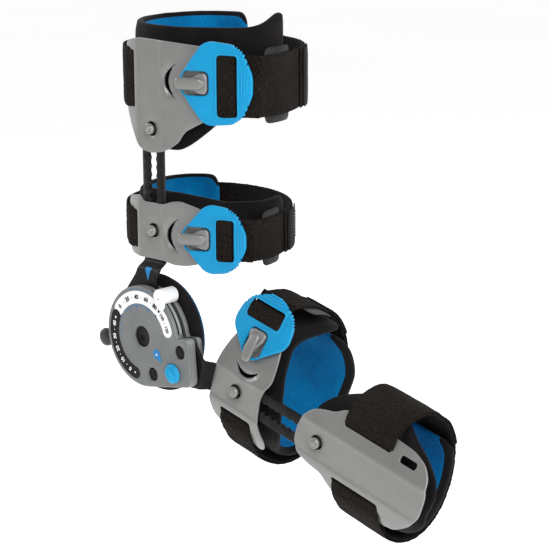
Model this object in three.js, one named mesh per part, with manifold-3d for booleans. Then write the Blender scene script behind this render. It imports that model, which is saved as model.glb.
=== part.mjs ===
// Post-operative knee brace with one lateral upright: two bars on a dial hinge, four sliding cuffs.
// Millimetres. Origin: centre of the knee pad's skin face, on the knee axis.
// +Y points into the leg, +Z up the thigh, +X to the back of the knee.
import * as THREE from "three";
import { mergeVertices } from "three/addons/utils/BufferGeometryUtils.js";
import Module from "manifold-3d";

const wasm = await Module();
wasm.setup();

const DEG = Math.PI / 180;
const REST_FLEXION = 76.2 * DEG; // angle of the calf bar from straight
const CALF_OFFSET = -7.2; // the calf bar runs this far in front of the knee axis

// Depths along Y, from the outside of the brace to the skin.
const SHELL_FACE = -14;
const SHELL_WALL = 1.8;
const BAR_THICKNESS = 3;
const BAR_FRONT = SHELL_FACE + 2.2;
const BAR_BACK = BAR_FRONT + BAR_THICKNESS;
const HINGE_FRONT = -28.1;
const COVER_WALL = 2;
const FRONT_COVER_BACK = -20.4;
const PLATE_FRONT = -19.8;
const PLATE_BACK = PLATE_FRONT + BAR_THICKNESS;
const REAR_COVER_FRONT = -15.8;
const REAR_COVER_BACK = -11.6;
const FAR = 80; // deeper than any piece, for cuts that go right through

// Hinge dial, seen from outside: angles are clockwise from straight up.
const COVER_RADIUS = 43;
const GEAR_RADIUS = 41.4;
const TOOTH_DEPTH = 1.1;
const TOOTH_COUNT = 40;
const BARREL_RADIUS = 6.5;
const RUNNING_GAP = 0.4;
const SCALE_RADII = [29, 38];
const FLEXION_SCALE = [-58, 79];
const EXTENSION_SCALE = [-174, -62];
const RIVETS = { lower_rivet: [12.5, -30.3], upper_rivet: [45.8, -5] };
const LOCK = { x: 38.3, z: -23.8, travel: 5 };
const FLEXION_STOP = { angle: 33, radius: 46.4, window: [14, 78], lever: -24.6 };
const EXTENSION_STOP = { angle: -102, radius: 51, window: [-140, -53], lever: -23.1 };

// Knee pad.
const PAD_RADIUS = 51;
const PAD_LAYERS = { plate: [-11.3, -10.6], foam: [-10.3, -1.3], lining: [-1, 0] };

// Bars, with a scalloped slot that the cuffs' buttons lock into.
const BAR_HALF_WIDTH = 12.4;
const SLOT_HALF_WIDTH = 3.8;
const SCALLOP_RADIUS = 4.7;
const SCALLOP_PITCH = 7.1;

// Push buttons in the cuffs.
const BUTTON_RADIUS = 4.6;
const PIN_RADIUS = 3.3;
const BUTTON_HOLE_RADIUS = 6.2;

// Straps, buckles and liners.
const CHANNEL_HALF_WIDTH = 13;
const SLOT_INNER_X = 19.5;
const SLOT_OUTER_X = 30;
const CRESCENT_X = 28.5;
const STRAP = 4;
const STRAP_GAP = 0.6;
const STRAP_STEPS = 32;
const LINER_STEPS = 24;
const LINER = 9;
const BUCKLE_SLOPE = 25;
const BUCKLE_AT = [50, SHELL_FACE + 9.7];
const BUCKLE_THICKNESS = 3.2;

const GREY = { color: 0x8f908d, roughness: 0.45, metalness: 0.3 };
const BLACK = { color: 0x1b1a1a, roughness: 0.5, metalness: 0.3 };
const FABRIC = { color: 0x1c1918, roughness: 0.95, metalness: 0 };
const BLUE = { color: 0x0a98e0, roughness: 0.4, metalness: 0 };
const LINING = { color: 0x0b6fc4, roughness: 0.9, metalness: 0 };
const WHITE = { color: 0xe9ebec, roughness: 0.4, metalness: 0 };
const STEEL = { color: 0xa9a9a8, roughness: 0.3, metalness: 0.9 };

// ---- solids ----

function solid(geometry) {
  const flat = geometry.index ? geometry.toNonIndexed() : geometry.clone();
  flat.deleteAttribute("normal");
  flat.deleteAttribute("uv");
  const merged = mergeVertices(flat, 1e-4);
  return new wasm.Manifold(
    new wasm.Mesh({
      numProp: 3,
      vertProperties: merged.attributes.position.array,
      triVerts: new Uint32Array(merged.index.array),
    }),
  );
}

function mesh(name, body, look) {
  const data = body.getMesh();
  const geometry = new THREE.BufferGeometry();
  geometry.setAttribute("position", new THREE.BufferAttribute(data.vertProperties, 3));
  geometry.setIndex(new THREE.BufferAttribute(data.triVerts, 1));
  geometry.computeVertexNormals();
  const made = new THREE.Mesh(geometry, new THREE.MeshStandardMaterial(look));
  made.name = name;
  return made;
}

const outline = (points) => new THREE.Shape(points.map(([x, y]) => new THREE.Vector2(x, y)));

function extrude(shape, depth) {
  return new THREE.ExtrudeGeometry(shape, { depth, bevelEnabled: false });
}

// A prism of an outline in X and Y, from z0 to z1.
function alongZ(shape, z0, z1) {
  return solid(extrude(shape, z1 - z0).translate(0, 0, z0));
}

// A prism of an outline in X and Z, from depth y0 to y1.
function alongY(shape, y0, y1) {
  return solid(extrude(shape, y1 - y0).rotateX(Math.PI / 2).translate(0, y1, 0));
}

// A prism of an outline in Y and Z, centred on X.
function alongX(shape, width) {
  const turn = new THREE.Matrix4().makeBasis(
    new THREE.Vector3(0, 1, 0), new THREE.Vector3(0, 0, 1), new THREE.Vector3(1, 0, 0));
  return solid(extrude(shape, width).applyMatrix4(turn).translate(-width / 2, 0, 0));
}

// A turned piece on an axis along Y: the profile lists [radius, y].
function turned(profile, x = 0, z = 0, segments = 18) {
  const points = profile.map(([radius, y]) => new THREE.Vector2(radius, y));
  return solid(new THREE.LatheGeometry(points, segments).translate(x, 0, z));
}

// ---- outlines ----

// The point at a radius and a dial angle in degrees.
const dial = (radius, angle) => [radius * Math.sin(angle * DEG), radius * Math.cos(angle * DEG)];

function dialArc(radius, from, to, steps) {
  return Array.from({ length: steps + 1 }, (_, i) => dial(radius, from + ((to - from) * i) / steps));
}

const sector = ([r0, r1], [from, to], steps) =>
  outline([...dialArc(r0, from, to, steps), ...dialArc(r1, to, from, steps)]);

const disc = (radius, x = 0, z = 0, steps = 18) =>
  outline(dialArc(radius, 0, 360 - 360 / steps, steps - 1).map(([dx, dz]) => [x + dx, z + dz]));

// The chords that round the corner between two straight edges.
function corner(before, at, after, radius, steps) {
  const here = new THREE.Vector2(...at);
  const back = new THREE.Vector2(...before).sub(here);
  const ahead = new THREE.Vector2(...after).sub(here);
  const cut = Math.min(radius, back.length() * 0.45, ahead.length() * 0.45);
  const start = here.clone().add(back.setLength(cut));
  const end = here.clone().add(ahead.setLength(cut));
  return new THREE.QuadraticBezierCurve(start, here, end).getPoints(steps).map((v) => [v.x, v.y]);
}

function rounded(points, radius, steps = 3) {
  const next = (i) => points[(i + 1) % points.length];
  return outline(points.flatMap((p, i) => corner(points.at(i - 1), p, next(i), radius, steps)));
}

const rectangle = ([x0, x1], [z0, z1]) => [[x0, z0], [x1, z0], [x1, z1], [x0, z1]];

// ---- ribbons: an open curve in X and Y with a thickness ----

function smooth(points, steps) {
  const curve = new THREE.SplineCurve(points.map(([x, y]) => new THREE.Vector2(x, y)));
  return curve.getSpacedPoints(steps).map((v) => [v.x, v.y]);
}

// The curve moved sideways; positive is to the left of its direction.
function beside(path, distance) {
  return path.map(([x, y], i) => {
    const [ax, ay] = path[Math.max(i - 1, 0)];
    const [bx, by] = path[Math.min(i + 1, path.length - 1)];
    const length = Math.hypot(bx - ax, by - ay);
    return [x - (distance * (by - ay)) / length, y + (distance * (bx - ax)) / length];
  });
}

function ribbon(path, [from, to], [z0, z1]) {
  return alongZ(outline([...beside(path, from), ...beside(path, to).reverse()]), z0, z1);
}

// ---- bars ----

// A flat bar in the hinge's layer that steps in to the cuffs' layer; sign is +1 up, -1 down.
function barProfile(sign, start, [from, to], end) {
  const line = [[PLATE_FRONT, start], [PLATE_FRONT, from], [BAR_FRONT, to], [BAR_FRONT, end]];
  const back = [[BAR_BACK, end], [BAR_BACK, to - 1], [PLATE_BACK, from - 1], [PLATE_BACK, start]];
  return alongX(outline([...line, ...back].map(([y, z]) => [y, sign * z])), 200);
}

// A long slot whose sides are scalloped, from the first button place to the last.
function scallopedSlot(sign, first, count) {
  const reach = Math.acos(SLOT_HALF_WIDTH / SCALLOP_RADIUS) / DEG;
  const side = (x, z, turn) => [-reach, 0, reach].map((a) => [
    x * SCALLOP_RADIUS * Math.cos(a * DEG), z + turn * SCALLOP_RADIUS * Math.sin(a * DEG)]);
  const places = Array.from({ length: count }, (_, i) => first + i * SCALLOP_PITCH);
  const up = places.flatMap((z) => side(1, z, 1));
  const down = places.slice().reverse().flatMap((z) => side(-1, z, -1));
  return outline([...up, ...down].map(([x, z]) => [x, sign * z]));
}

function toothedDisc() {
  const points = Array.from({ length: TOOTH_COUNT * 2 }, (_, i) =>
    dial(GEAR_RADIUS - (i % 2) * TOOTH_DEPTH, (i * 180) / TOOTH_COUNT));
  return outline(points);
}

function thighBar() {
  const flare = [[-30.5, 30], [-25.6, 38], [-20.4, 44.5], [-14, 53.5], [-BAR_HALF_WIDTH, 59]];
  const bar = [[-BAR_HALF_WIDTH, 232], [-7, 238], [7, 238], [BAR_HALF_WIDTH, 232]];
  const foot = [[BAR_HALF_WIDTH, 60], [12, 54], [10.6, 48], [9, 30]];
  const front = alongY(outline([...flare, ...bar, ...foot]), -FAR, FAR)
    .add(alongY(toothedDisc(), -FAR, FAR));
  const rivetTrack = sector([28.8, 36.8], [108, 242], 16);
  return barProfile(1, -60, [56, 63.4], 240)
    .intersect(front)
    .subtract(alongY(scallopedSlot(1, THIGH_BUTTONS[1] - SCALLOP_PITCH, 21), -FAR, FAR))
    .subtract(alongY(disc(BARREL_RADIUS + 0.3), -FAR, FAR))
    .subtract(alongY(rivetTrack, -FAR, FAR));
}

// The calf bar starts as a plate in the covers' lobe, hollowed round the thigh bar's disc.
function calfBar() {
  const x = (side) => CALF_OFFSET + side * BAR_HALF_WIDTH;
  const plate = [[19, -48], [9, -60], [x(1) + 1.4, -63], [x(1), -68]];
  const bar = [[x(1), -286], [x(1) - 6, -292], [x(-1) + 6, -292], [x(-1), -286]];
  const side = [[x(-1), -68], [x(-1) - 1.4, -62], [-30, -31], [-26, -20], [8, -20], [16, -38]];
  return barProfile(-1, 0, [65.5, 72], 294)
    .intersect(alongY(outline([...plate, ...bar, ...side].reverse()), -FAR, FAR))
    .subtract(alongY(scallopedSlot(-1, CALF_BUTTONS[0] - 2 * SCALLOP_PITCH, 28), -FAR, FAR)
      .translate([CALF_OFFSET, 0, 0]))
    .subtract(alongY(disc(GEAR_RADIUS + 1.2, 0, 0, 48), -FAR, FAR))
    .rotate([0, -REST_FLEXION / DEG, 0])
    .subtract(alongY(disc(3.3, ...RIVETS.upper_rivet), -FAR, FAR));
}

// ---- hinge covers and dial ----

const RIM_STEPS = 38;

// A round cover with a square lobe over the calf bar.
function coverOutline(inset) {
  const radius = COVER_RADIUS - inset;
  const lobe = [[45.5, 6.5 - inset], [56.4 - inset, 8.2 - inset], [59.8 - inset, -32.1 + inset]];
  const [inner, top, bottom] = lobe;
  const distance = Math.hypot(...bottom);
  const tangent = 90 - (Math.atan2(bottom[1], bottom[0]) - Math.acos(radius / distance)) / DEG;
  const meets = 90 - Math.asin(inner[1] / radius) / DEG;
  const round = dialArc(radius, meets, tangent - 360, RIM_STEPS);
  return outline([
    ...corner(inner, top, bottom, 5, 4).reverse(),
    inner,
    ...round,
    ...corner(top, bottom, round.at(-1), 5, 4).reverse(),
  ]);
}

const lockDirection = new THREE.Vector2(-LOCK.x, -LOCK.z).normalize();

// The straight slot that the lock knob slides in.
function lockSlot(halfWidth) {
  const end = [LOCK.x + LOCK.travel * lockDirection.x, LOCK.z + LOCK.travel * lockDirection.y];
  const across = [-lockDirection.y * halfWidth, lockDirection.x * halfWidth];
  const sides = outline([
    [LOCK.x + across[0], LOCK.z + across[1]], [LOCK.x - across[0], LOCK.z - across[1]],
    [end[0] - across[0], end[1] - across[1]], [end[0] + across[0], end[1] + across[1]]]);
  return alongY(sides, -FAR, FAR)
    .add(alongY(disc(halfWidth, LOCK.x, LOCK.z), -FAR, FAR))
    .add(alongY(disc(halfWidth, ...end), -FAR, FAR));
}

function frontCover() {
  const hollow = alongY(coverOutline(COVER_WALL), HINGE_FRONT + COVER_WALL, 0);
  let cover = alongY(coverOutline(0), HINGE_FRONT, FRONT_COVER_BACK).subtract(hollow);
  for (const place of Object.values(RIVETS)) {
    cover = cover.add(alongY(disc(6.4, ...place), HINGE_FRONT + 1, FRONT_COVER_BACK));
    cover = cover.subtract(alongY(disc(3.2, ...place), -FAR, FAR));
    cover = cover.subtract(alongY(disc(5.3, ...place), -FAR, HINGE_FRONT + COVER_WALL));
  }
  for (const stop of [FLEXION_STOP, EXTENSION_STOP]) {
    const window = alongY(sector([40, 60], stop.window, 8), stop.lever - 0.5, stop.lever + 1.7);
    cover = cover.subtract(window);
  }
  return cover.subtract(alongY(disc(8), -FAR, FAR)).subtract(lockSlot(4.2));
}

function rearCover() {
  let cover = alongY(coverOutline(0.7), REAR_COVER_FRONT, REAR_COVER_BACK)
    .subtract(alongY(disc(BARREL_RADIUS + RUNNING_GAP), -FAR, FAR))
    .subtract(alongY(disc(9.8), REAR_COVER_BACK - 2.2, 0));
  for (const place of Object.values(RIVETS)) {
    cover = cover.subtract(alongY(disc(3.2, ...place), -FAR, FAR));
    cover = cover.subtract(alongY(disc(5), ...[REAR_COVER_BACK - 1.6, 0]).translate([place[0], 0, place[1]]));
  }
  return cover;
}

function rivet([x, z]) {
  return turned([
    [0, HINGE_FRONT + 0.7], [4.9, HINGE_FRONT + 0.7], [4.9, HINGE_FRONT + 1.7],
    [2.8, HINGE_FRONT + 1.7], [2.8, REAR_COVER_BACK - 1.3], [4.6, REAR_COVER_BACK - 1.3],
    [4.6, REAR_COVER_BACK - 0.4], [0, REAR_COVER_BACK - 0.4]], x, z, 14);
}

function pivotBarrel() {
  const bore = 3;
  const back = REAR_COVER_BACK - 0.5;
  return turned([
    [bore, -25.8], [8.4, -25.8], [8.4, -24.9], [BARREL_RADIUS, -24.9], [BARREL_RADIUS, back - 1.2],
    [9.2, back - 1.2], [9.2, back], [bore, back], [bore, -25.8]]);
}

function washer(inner, outer, y0, y1) {
  return alongY(disc(outer), y0, y1).subtract(alongY(disc(inner), -FAR, FAR));
}

// A lever from the hinge barrel out to the rim, in its own layer under the front cover.
function stopLever(stop) {
  const [y0, y1] = [stop.lever, stop.lever + 1.2];
  const arm = sector([8, COVER_RADIUS - 2.6], [stop.angle - 7, stop.angle + 7], 4);
  return washer(BARREL_RADIUS + RUNNING_GAP, 11.5, y0, y1).add(alongY(arm, y0, y1))
    .subtract(alongY(disc(BARREL_RADIUS + RUNNING_GAP), -FAR, FAR));
}

function stopNeck(stop) {
  const neck = sector([COVER_RADIUS - 2.2, COVER_RADIUS + 2], [stop.angle - 4, stop.angle + 4], 2);
  return alongY(neck, stop.lever, stop.lever + 1.2);
}

// The flexion stop: a round peg outside the rim with a pointer that lies over the dial.
function flexionSlider() {
  const { angle, radius } = FLEXION_STOP;
  const peg = alongY(disc(6.7, ...dial(radius, angle)), -31.2, SHELL_FACE)
    .subtract(alongY(disc(COVER_RADIUS + 0.5, 0, 0, 48), -29.2, FAR));
  const pointer = alongY(sector([38.6, 47], [angle - 4, angle + 12.5], 6), -31.2, -29.2);
  return peg.add(pointer).add(stopNeck(FLEXION_STOP));
}

// The extension stop: a domed knob that sticks out of the rim.
function extensionKnob() {
  const { angle, radius } = EXTENSION_STOP;
  const knob = alongY(disc(7.8, ...dial(radius, angle)), -27.6, -20.8)
    .subtract(alongY(disc(COVER_RADIUS + 0.5, 0, 0, 48), -FAR, FAR));
  return knob.add(stopNeck(EXTENSION_STOP));
}

function lockKnob() {
  const top = HINGE_FRONT - 0.4;
  return turned([
    [0, top - 4.6], [3.2, top - 4.4], [6.2, top - 3.2], [8, top - 1.2], [8.2, top],
    [3.7, top], [3.7, -20.9], [0, -20.9]], LOCK.x, LOCK.z);
}

function dropMark() {
  const [x, z] = [19.9, -12.8];
  return alongY(outline([...dialArc(4, 10, 310, 10).map(([a, b]) => [x - 1 + a, z + b + 1]),
    [x - 6.5, z + 6.5]].map(([a, b]) => [2 * x - a, 2 * z - b])), HINGE_FRONT - 0.8, HINGE_FRONT - 0.3);
}

function padDisc(radius, [y0, y1]) {
  return alongY(disc(radius, 0, 0, 32), y0, y1);
}

function padFoam([y0, y1]) {
  const profile = [[0, y0], [PAD_RADIUS - 5, y0], [PAD_RADIUS, y0 + 3.2], [PAD_RADIUS, y0 + 5.5],
    [PAD_RADIUS - 3.5, y1], [0, y1]];
  return turned(profile, 0, 0, 32);
}

function thighUpright() {
  const group = new THREE.Group();
  const pointer = outline([[-3, 57.8], [0.4, 47.4], [3.4, 57.8]]);
  group.add(
    mesh("thigh_bar", thighBar(), BLACK),
    mesh("pivot_barrel", pivotBarrel(), STEEL),
    mesh("bearing_washer", washer(BARREL_RADIUS + RUNNING_GAP, 16, -21.5, -20.2), WHITE),
    mesh("knee_pad_plate", padDisc(38, PAD_LAYERS.plate), BLACK),
    mesh("knee_pad", padFoam(PAD_LAYERS.foam), FABRIC),
    mesh("knee_pad_lining", padDisc(PAD_RADIUS - 4.5, PAD_LAYERS.lining), LINING),
    mesh("flexion_pointer", alongY(pointer, PLATE_FRONT - 0.8, PLATE_FRONT - 0.3), BLUE),
  );
  return group;
}

function hinge() {
  const group = new THREE.Group();
  const printed = [HINGE_FRONT - 0.8, HINGE_FRONT - 0.3];
  group.add(
    mesh("calf_bar", calfBar(), BLACK),
    mesh("front_cover", frontCover(), GREY),
    mesh("rear_cover", rearCover(), GREY),
    mesh("flexion_scale", alongY(sector(SCALE_RADII, FLEXION_SCALE, 20), ...printed), WHITE),
    mesh("extension_scale", alongY(sector(SCALE_RADII, EXTENSION_SCALE, 16), ...printed), BLACK),
    mesh("lock_mark", dropMark(), BLUE),
    mesh("flexion_slider", flexionSlider(), WHITE),
    mesh("flexion_lever", stopLever(FLEXION_STOP), STEEL),
    mesh("extension_knob", extensionKnob(), BLACK),
    mesh("extension_lever", stopLever(EXTENSION_STOP), STEEL),
    mesh("lock_knob", lockKnob(), BLUE),
    mesh("lock_retainer", washer(4.1, 6.4, -25.8, -24.9).translate([LOCK.x, 0, LOCK.z]), STEEL),
  );
  for (const [name, place] of Object.entries(RIVETS)) {
    group.add(mesh(name, rivet(place), BLACK));
  }
  return group;
}

// ---- cuff shells ----

// One wing of a shell from the channel's edge: each bend is [length, turn in degrees, steps].
function wing(side, bends) {
  const points = [];
  let [x, y, angle] = [side * CHANNEL_HALF_WIDTH, SHELL_FACE, 0];
  for (const [length, turn, steps] of bends) {
    for (let i = 0; i < steps; i++) {
      angle += (turn * DEG) / steps / 2;
      x += (side * length * Math.cos(angle)) / steps;
      y += (length * Math.sin(angle)) / steps;
      angle += (turn * DEG) / steps / 2;
      points.push([x, y]);
    }
  }
  return points;
}

const PROFILE = [
  ...wing(-1, [[5.6, 20, 2], [27, 14, 4]]).reverse(),
  [-CHANNEL_HALF_WIDTH, SHELL_FACE],
  [CHANNEL_HALF_WIDTH, SHELL_FACE],
  ...wing(1, [[6.1, 25, 2], [34.5, 0, 2], [21, 20, 4]]),
];

// The shells' outer surface at x, carried straight on past its ends.
function profileY(x) {
  const last = PROFILE.length - 2;
  const found = PROFILE.findIndex(([px]) => px > x) - 1;
  const i = found === -2 ? last : THREE.MathUtils.clamp(found, 0, last);
  const [[ax, ay], [bx, by]] = [PROFILE[i], PROFILE[i + 1]];
  return ay + ((by - ay) * (x - ax)) / (bx - ax);
}

function profileBetween(x0, x1, steps = 6) {
  return Array.from({ length: steps + 1 }, (_, i) => {
    const x = x0 + ((x1 - x0) * i) / steps;
    return [x, profileY(x)];
  });
}

// A moon-shaped slot, hollow side away from the channel.
function crescent(x, z, halfHeight) {
  const [top, bottom] = [new THREE.Vector2(x, z + halfHeight), new THREE.Vector2(x, z - halfHeight)];
  const outer = new THREE.QuadraticBezierCurve(top, new THREE.Vector2(x - 19, z), bottom);
  const inner = new THREE.QuadraticBezierCurve(bottom, new THREE.Vector2(x - 10.5, z), top);
  return outline([...outer.getPoints(6).slice(0, -1), ...inner.getPoints(6).slice(0, -1)]
    .map((v) => [v.x, v.y]));
}

// Pieces on the buckle's plane are drawn flat, with y = 0 on the buckle's face, then placed.
const onBucklePlane = (body) => body.rotate([0, 0, BUCKLE_SLOPE]).translate([...BUCKLE_AT, 0]);

// The hook's post, and its tongue that points at the channel.
function hook(z) {
  const post = rounded(rectangle([-15, 5.4], [z - 8.6, z + 8.6]), 4);
  const tongue = rounded(rectangle([-22.5, -2], [z - 5.4, z + 5.4]), 4);
  return onBucklePlane(alongY(post, -0.6, 6.6).add(alongY(tongue, -3.4, -0.5)));
}

function shell(cuff) {
  const skin = ribbon(PROFILE, [0, SHELL_WALL], [-FAR * 4, FAR * 4]);
  let body = skin.intersect(alongY(rounded(cuff.outline, 3, 1), -FAR, FAR));
  if (cuff.buckle) {
    body = body.add(hook(cuff.buckle.z));
    body = body.subtract(alongY(crescent(CRESCENT_X, cuff.buckle.z, 13), -FAR, FAR));
  }
  for (const [across, along] of cuff.slots) {
    body = body.subtract(alongY(rounded(rectangle(across, along), 2.5, 2), -FAR, FAR));
  }
  return body.subtract(alongY(disc(BUTTON_HOLE_RADIUS, 0, cuff.button), -FAR, 0));
}

// ---- what each shell holds ----

function barKeeper(cuff) {
  const plate = rounded(rectangle([-14, 14], cuff.channel), 3, 2);
  return alongY(plate, BAR_BACK + 0.4, BAR_BACK + 1.8)
    .subtract(alongY(disc(PIN_RADIUS + 0.5, 0, cuff.button, 16), -FAR, FAR));
}

function button(cuff) {
  const [front, shoulder, back] = [SHELL_FACE - 2.4, SHELL_FACE + 0.3, BAR_BACK + 2.1];
  return turned([
    [0, front], [BUTTON_RADIUS - 0.8, front], [BUTTON_RADIUS, front + 0.8],
    [BUTTON_RADIUS, shoulder], [PIN_RADIUS, shoulder], [PIN_RADIUS, back], [0, back],
  ], 0, cuff.button, 14);
}

function buttonSpring(cuff) {
  const y = BAR_BACK + 3.9;
  const leaf = rounded(rectangle([-5, 5], [cuff.button - 12, cuff.button + 12]), 3, 2);
  return alongY(leaf, y, y + 0.6);
}

// The strap's turn round the outer bar of a slot; side is -1 in front, +1 behind.
function strapTurn(side, slot, edge, along) {
  const inside = Math.min(Math.abs(slot[0]), Math.abs(slot[1])) + 3;
  const bar = Math.max(Math.abs(slot[0]), Math.abs(slot[1]));
  const order = (a, b) => (side < 0 ? [-b, -a] : [a, b]);
  const outer = STRAP_GAP + 2.2;
  const round = ribbon(profileBetween(...order(inside + 3.5, edge + 5), 4),
    [-outer, SHELL_WALL + outer], along);
  const room = ribbon(profileBetween(...order(bar - STRAP_GAP, edge + 1.8), 4),
    [-STRAP_GAP, SHELL_WALL + STRAP_GAP], [-FAR * 4, FAR * 4]);
  return round.subtract(room);
}

function strapPath(cuff) {
  const start = [[-43.5, profileY(-43.5) + SHELL_WALL / 2]];
  if (!cuff.buckle) {
    return smooth([...start, ...cuff.strap, [41, profileY(41) + SHELL_WALL / 2]], STRAP_STEPS);
  }
  const reach = cuff.buckle.reach + 3.8;
  const [c, s] = [Math.cos(BUCKLE_SLOPE * DEG), Math.sin(BUCKLE_SLOPE * DEG)];
  const along = (d) => [BUCKLE_AT[0] + d * c - 5.45 * s, BUCKLE_AT[1] + d * s + 5.45 * c];
  return smooth([...start, ...cuff.strap, along(reach)], STRAP_STEPS);
}

function strap(cuff) {
  const half = cuff.strapWidth / 2;
  const along = [cuff.strapZ - half, cuff.strapZ + half];
  let body = ribbon(strapPath(cuff), [-STRAP / 2, STRAP / 2], along);
  body = body.add(strapTurn(-1, cuff.slots[0][0], 39, along));
  if (!cuff.buckle) body = body.add(strapTurn(1, cuff.slots[1][0], 36.8, along));
  return body;
}

// A patch on the strap between two fractions of its length; layer is its offset from the strap.
function strapPatch(cuff, [from, to], layer, [z0, z1]) {
  const part = [Math.round(from * STRAP_STEPS), Math.round(to * STRAP_STEPS) + 1];
  const [inner, outer] = layer.map((offset) => beside(strapPath(cuff), offset).slice(...part));
  return alongZ(outline([...inner, ...outer.reverse()]), z0, z1);
}

function strapEnd(cuff) {
  const half = cuff.strapWidth / 2 - 0.5;
  return strapPatch(cuff, cuff.endPatch, [STRAP / 2 + 0.3, STRAP / 2 + 2.1],
    [cuff.strapZ - half, cuff.strapZ + half]);
}

function keeperTab(cuff) {
  const half = cuff.strapWidth / 2 + 6;
  return strapPatch(cuff, cuff.keeperPatch, [-STRAP / 2 - 1.9, -STRAP / 2 - 0.3],
    [cuff.strapZ - half, cuff.strapZ + half]);
}

// The liner's height narrows from the shell to the arms that go round the leg.
function liner({ liner: path, linerZ: [bottom, top], arms: [low, high] }) {
  const side = [[-FAR, bottom], [5, bottom], [24, low], [FAR * 4, low],
    [FAR * 4, high], [24, high], [5, top], [-FAR, top]];
  return ribbon(smooth(path, LINER_STEPS), [-LINER / 2, LINER / 2], [bottom, top])
    .intersect(alongX(outline(side), FAR * 4));
}

function buckle({ buckle: { z, reach, halfHeight: h, window, windowHalf }, strapZ }) {
  const half = [[1, h * 0.9], [9.5, h], [reach - 16, h * 0.9], [reach - 6, h * 0.66], [reach, 5]];
  const mirrored = half.map(([x, y]) => [x, -y]).reverse();
  const points = [[-19, -4.5], [-19, 4.5], ...half, ...mirrored].map(([x, y]) => [x, z + y]);
  const keyhole = rounded(rectangle([-15.9, 6.9], [z - 9.6, z + 9.6]), 4);
  const opening = rounded(rectangle(window, [strapZ - windowHalf, strapZ + windowHalf]), 2, 2);
  const apex = rectangle([-40, -15], [z - 20, z + 20]);
  return onBucklePlane(alongY(rounded(points.reverse(), 6), 0, BUCKLE_THICKNESS)
    .subtract(alongY(keyhole, -FAR, FAR))
    .subtract(alongY(opening, -FAR, FAR))
    .subtract(alongY(outline(apex), -FAR, 1)));
}

// The end of the strap that fills the buckle's window and passes under its outer bar.
function strapFold({ buckle: { reach, window: [x0, x1], windowHalf }, strapZ }) {
  const end = reach + 2;
  const section = outline([
    [x0 + 0.6, 0.8], [x1 - 0.6, 0.8], [x1 - 0.6, 3.7], [end, 3.7], [end, 7.2],
    [x1 - 2, 7.2], [x0 + 0.6, 3.4]]);
  return onBucklePlane(alongZ(section, strapZ - windowHalf + 0.6, strapZ + windowHalf - 0.6));
}

// ---- the four cuffs ----

const THIGH_BUTTONS = [173.8, 88.6];
const CALF_BUTTONS = [99.6, 191.9];

const BACK_HOOK_EDGE = [[49.7, -30.5], [58, -26], [63, -16], [64, 0], [63, 18], [57, 27]];
const edgeAround = (z, scale) => BACK_HOOK_EDGE.map(([x, dz]) => [x, z + dz * scale]);

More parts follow.
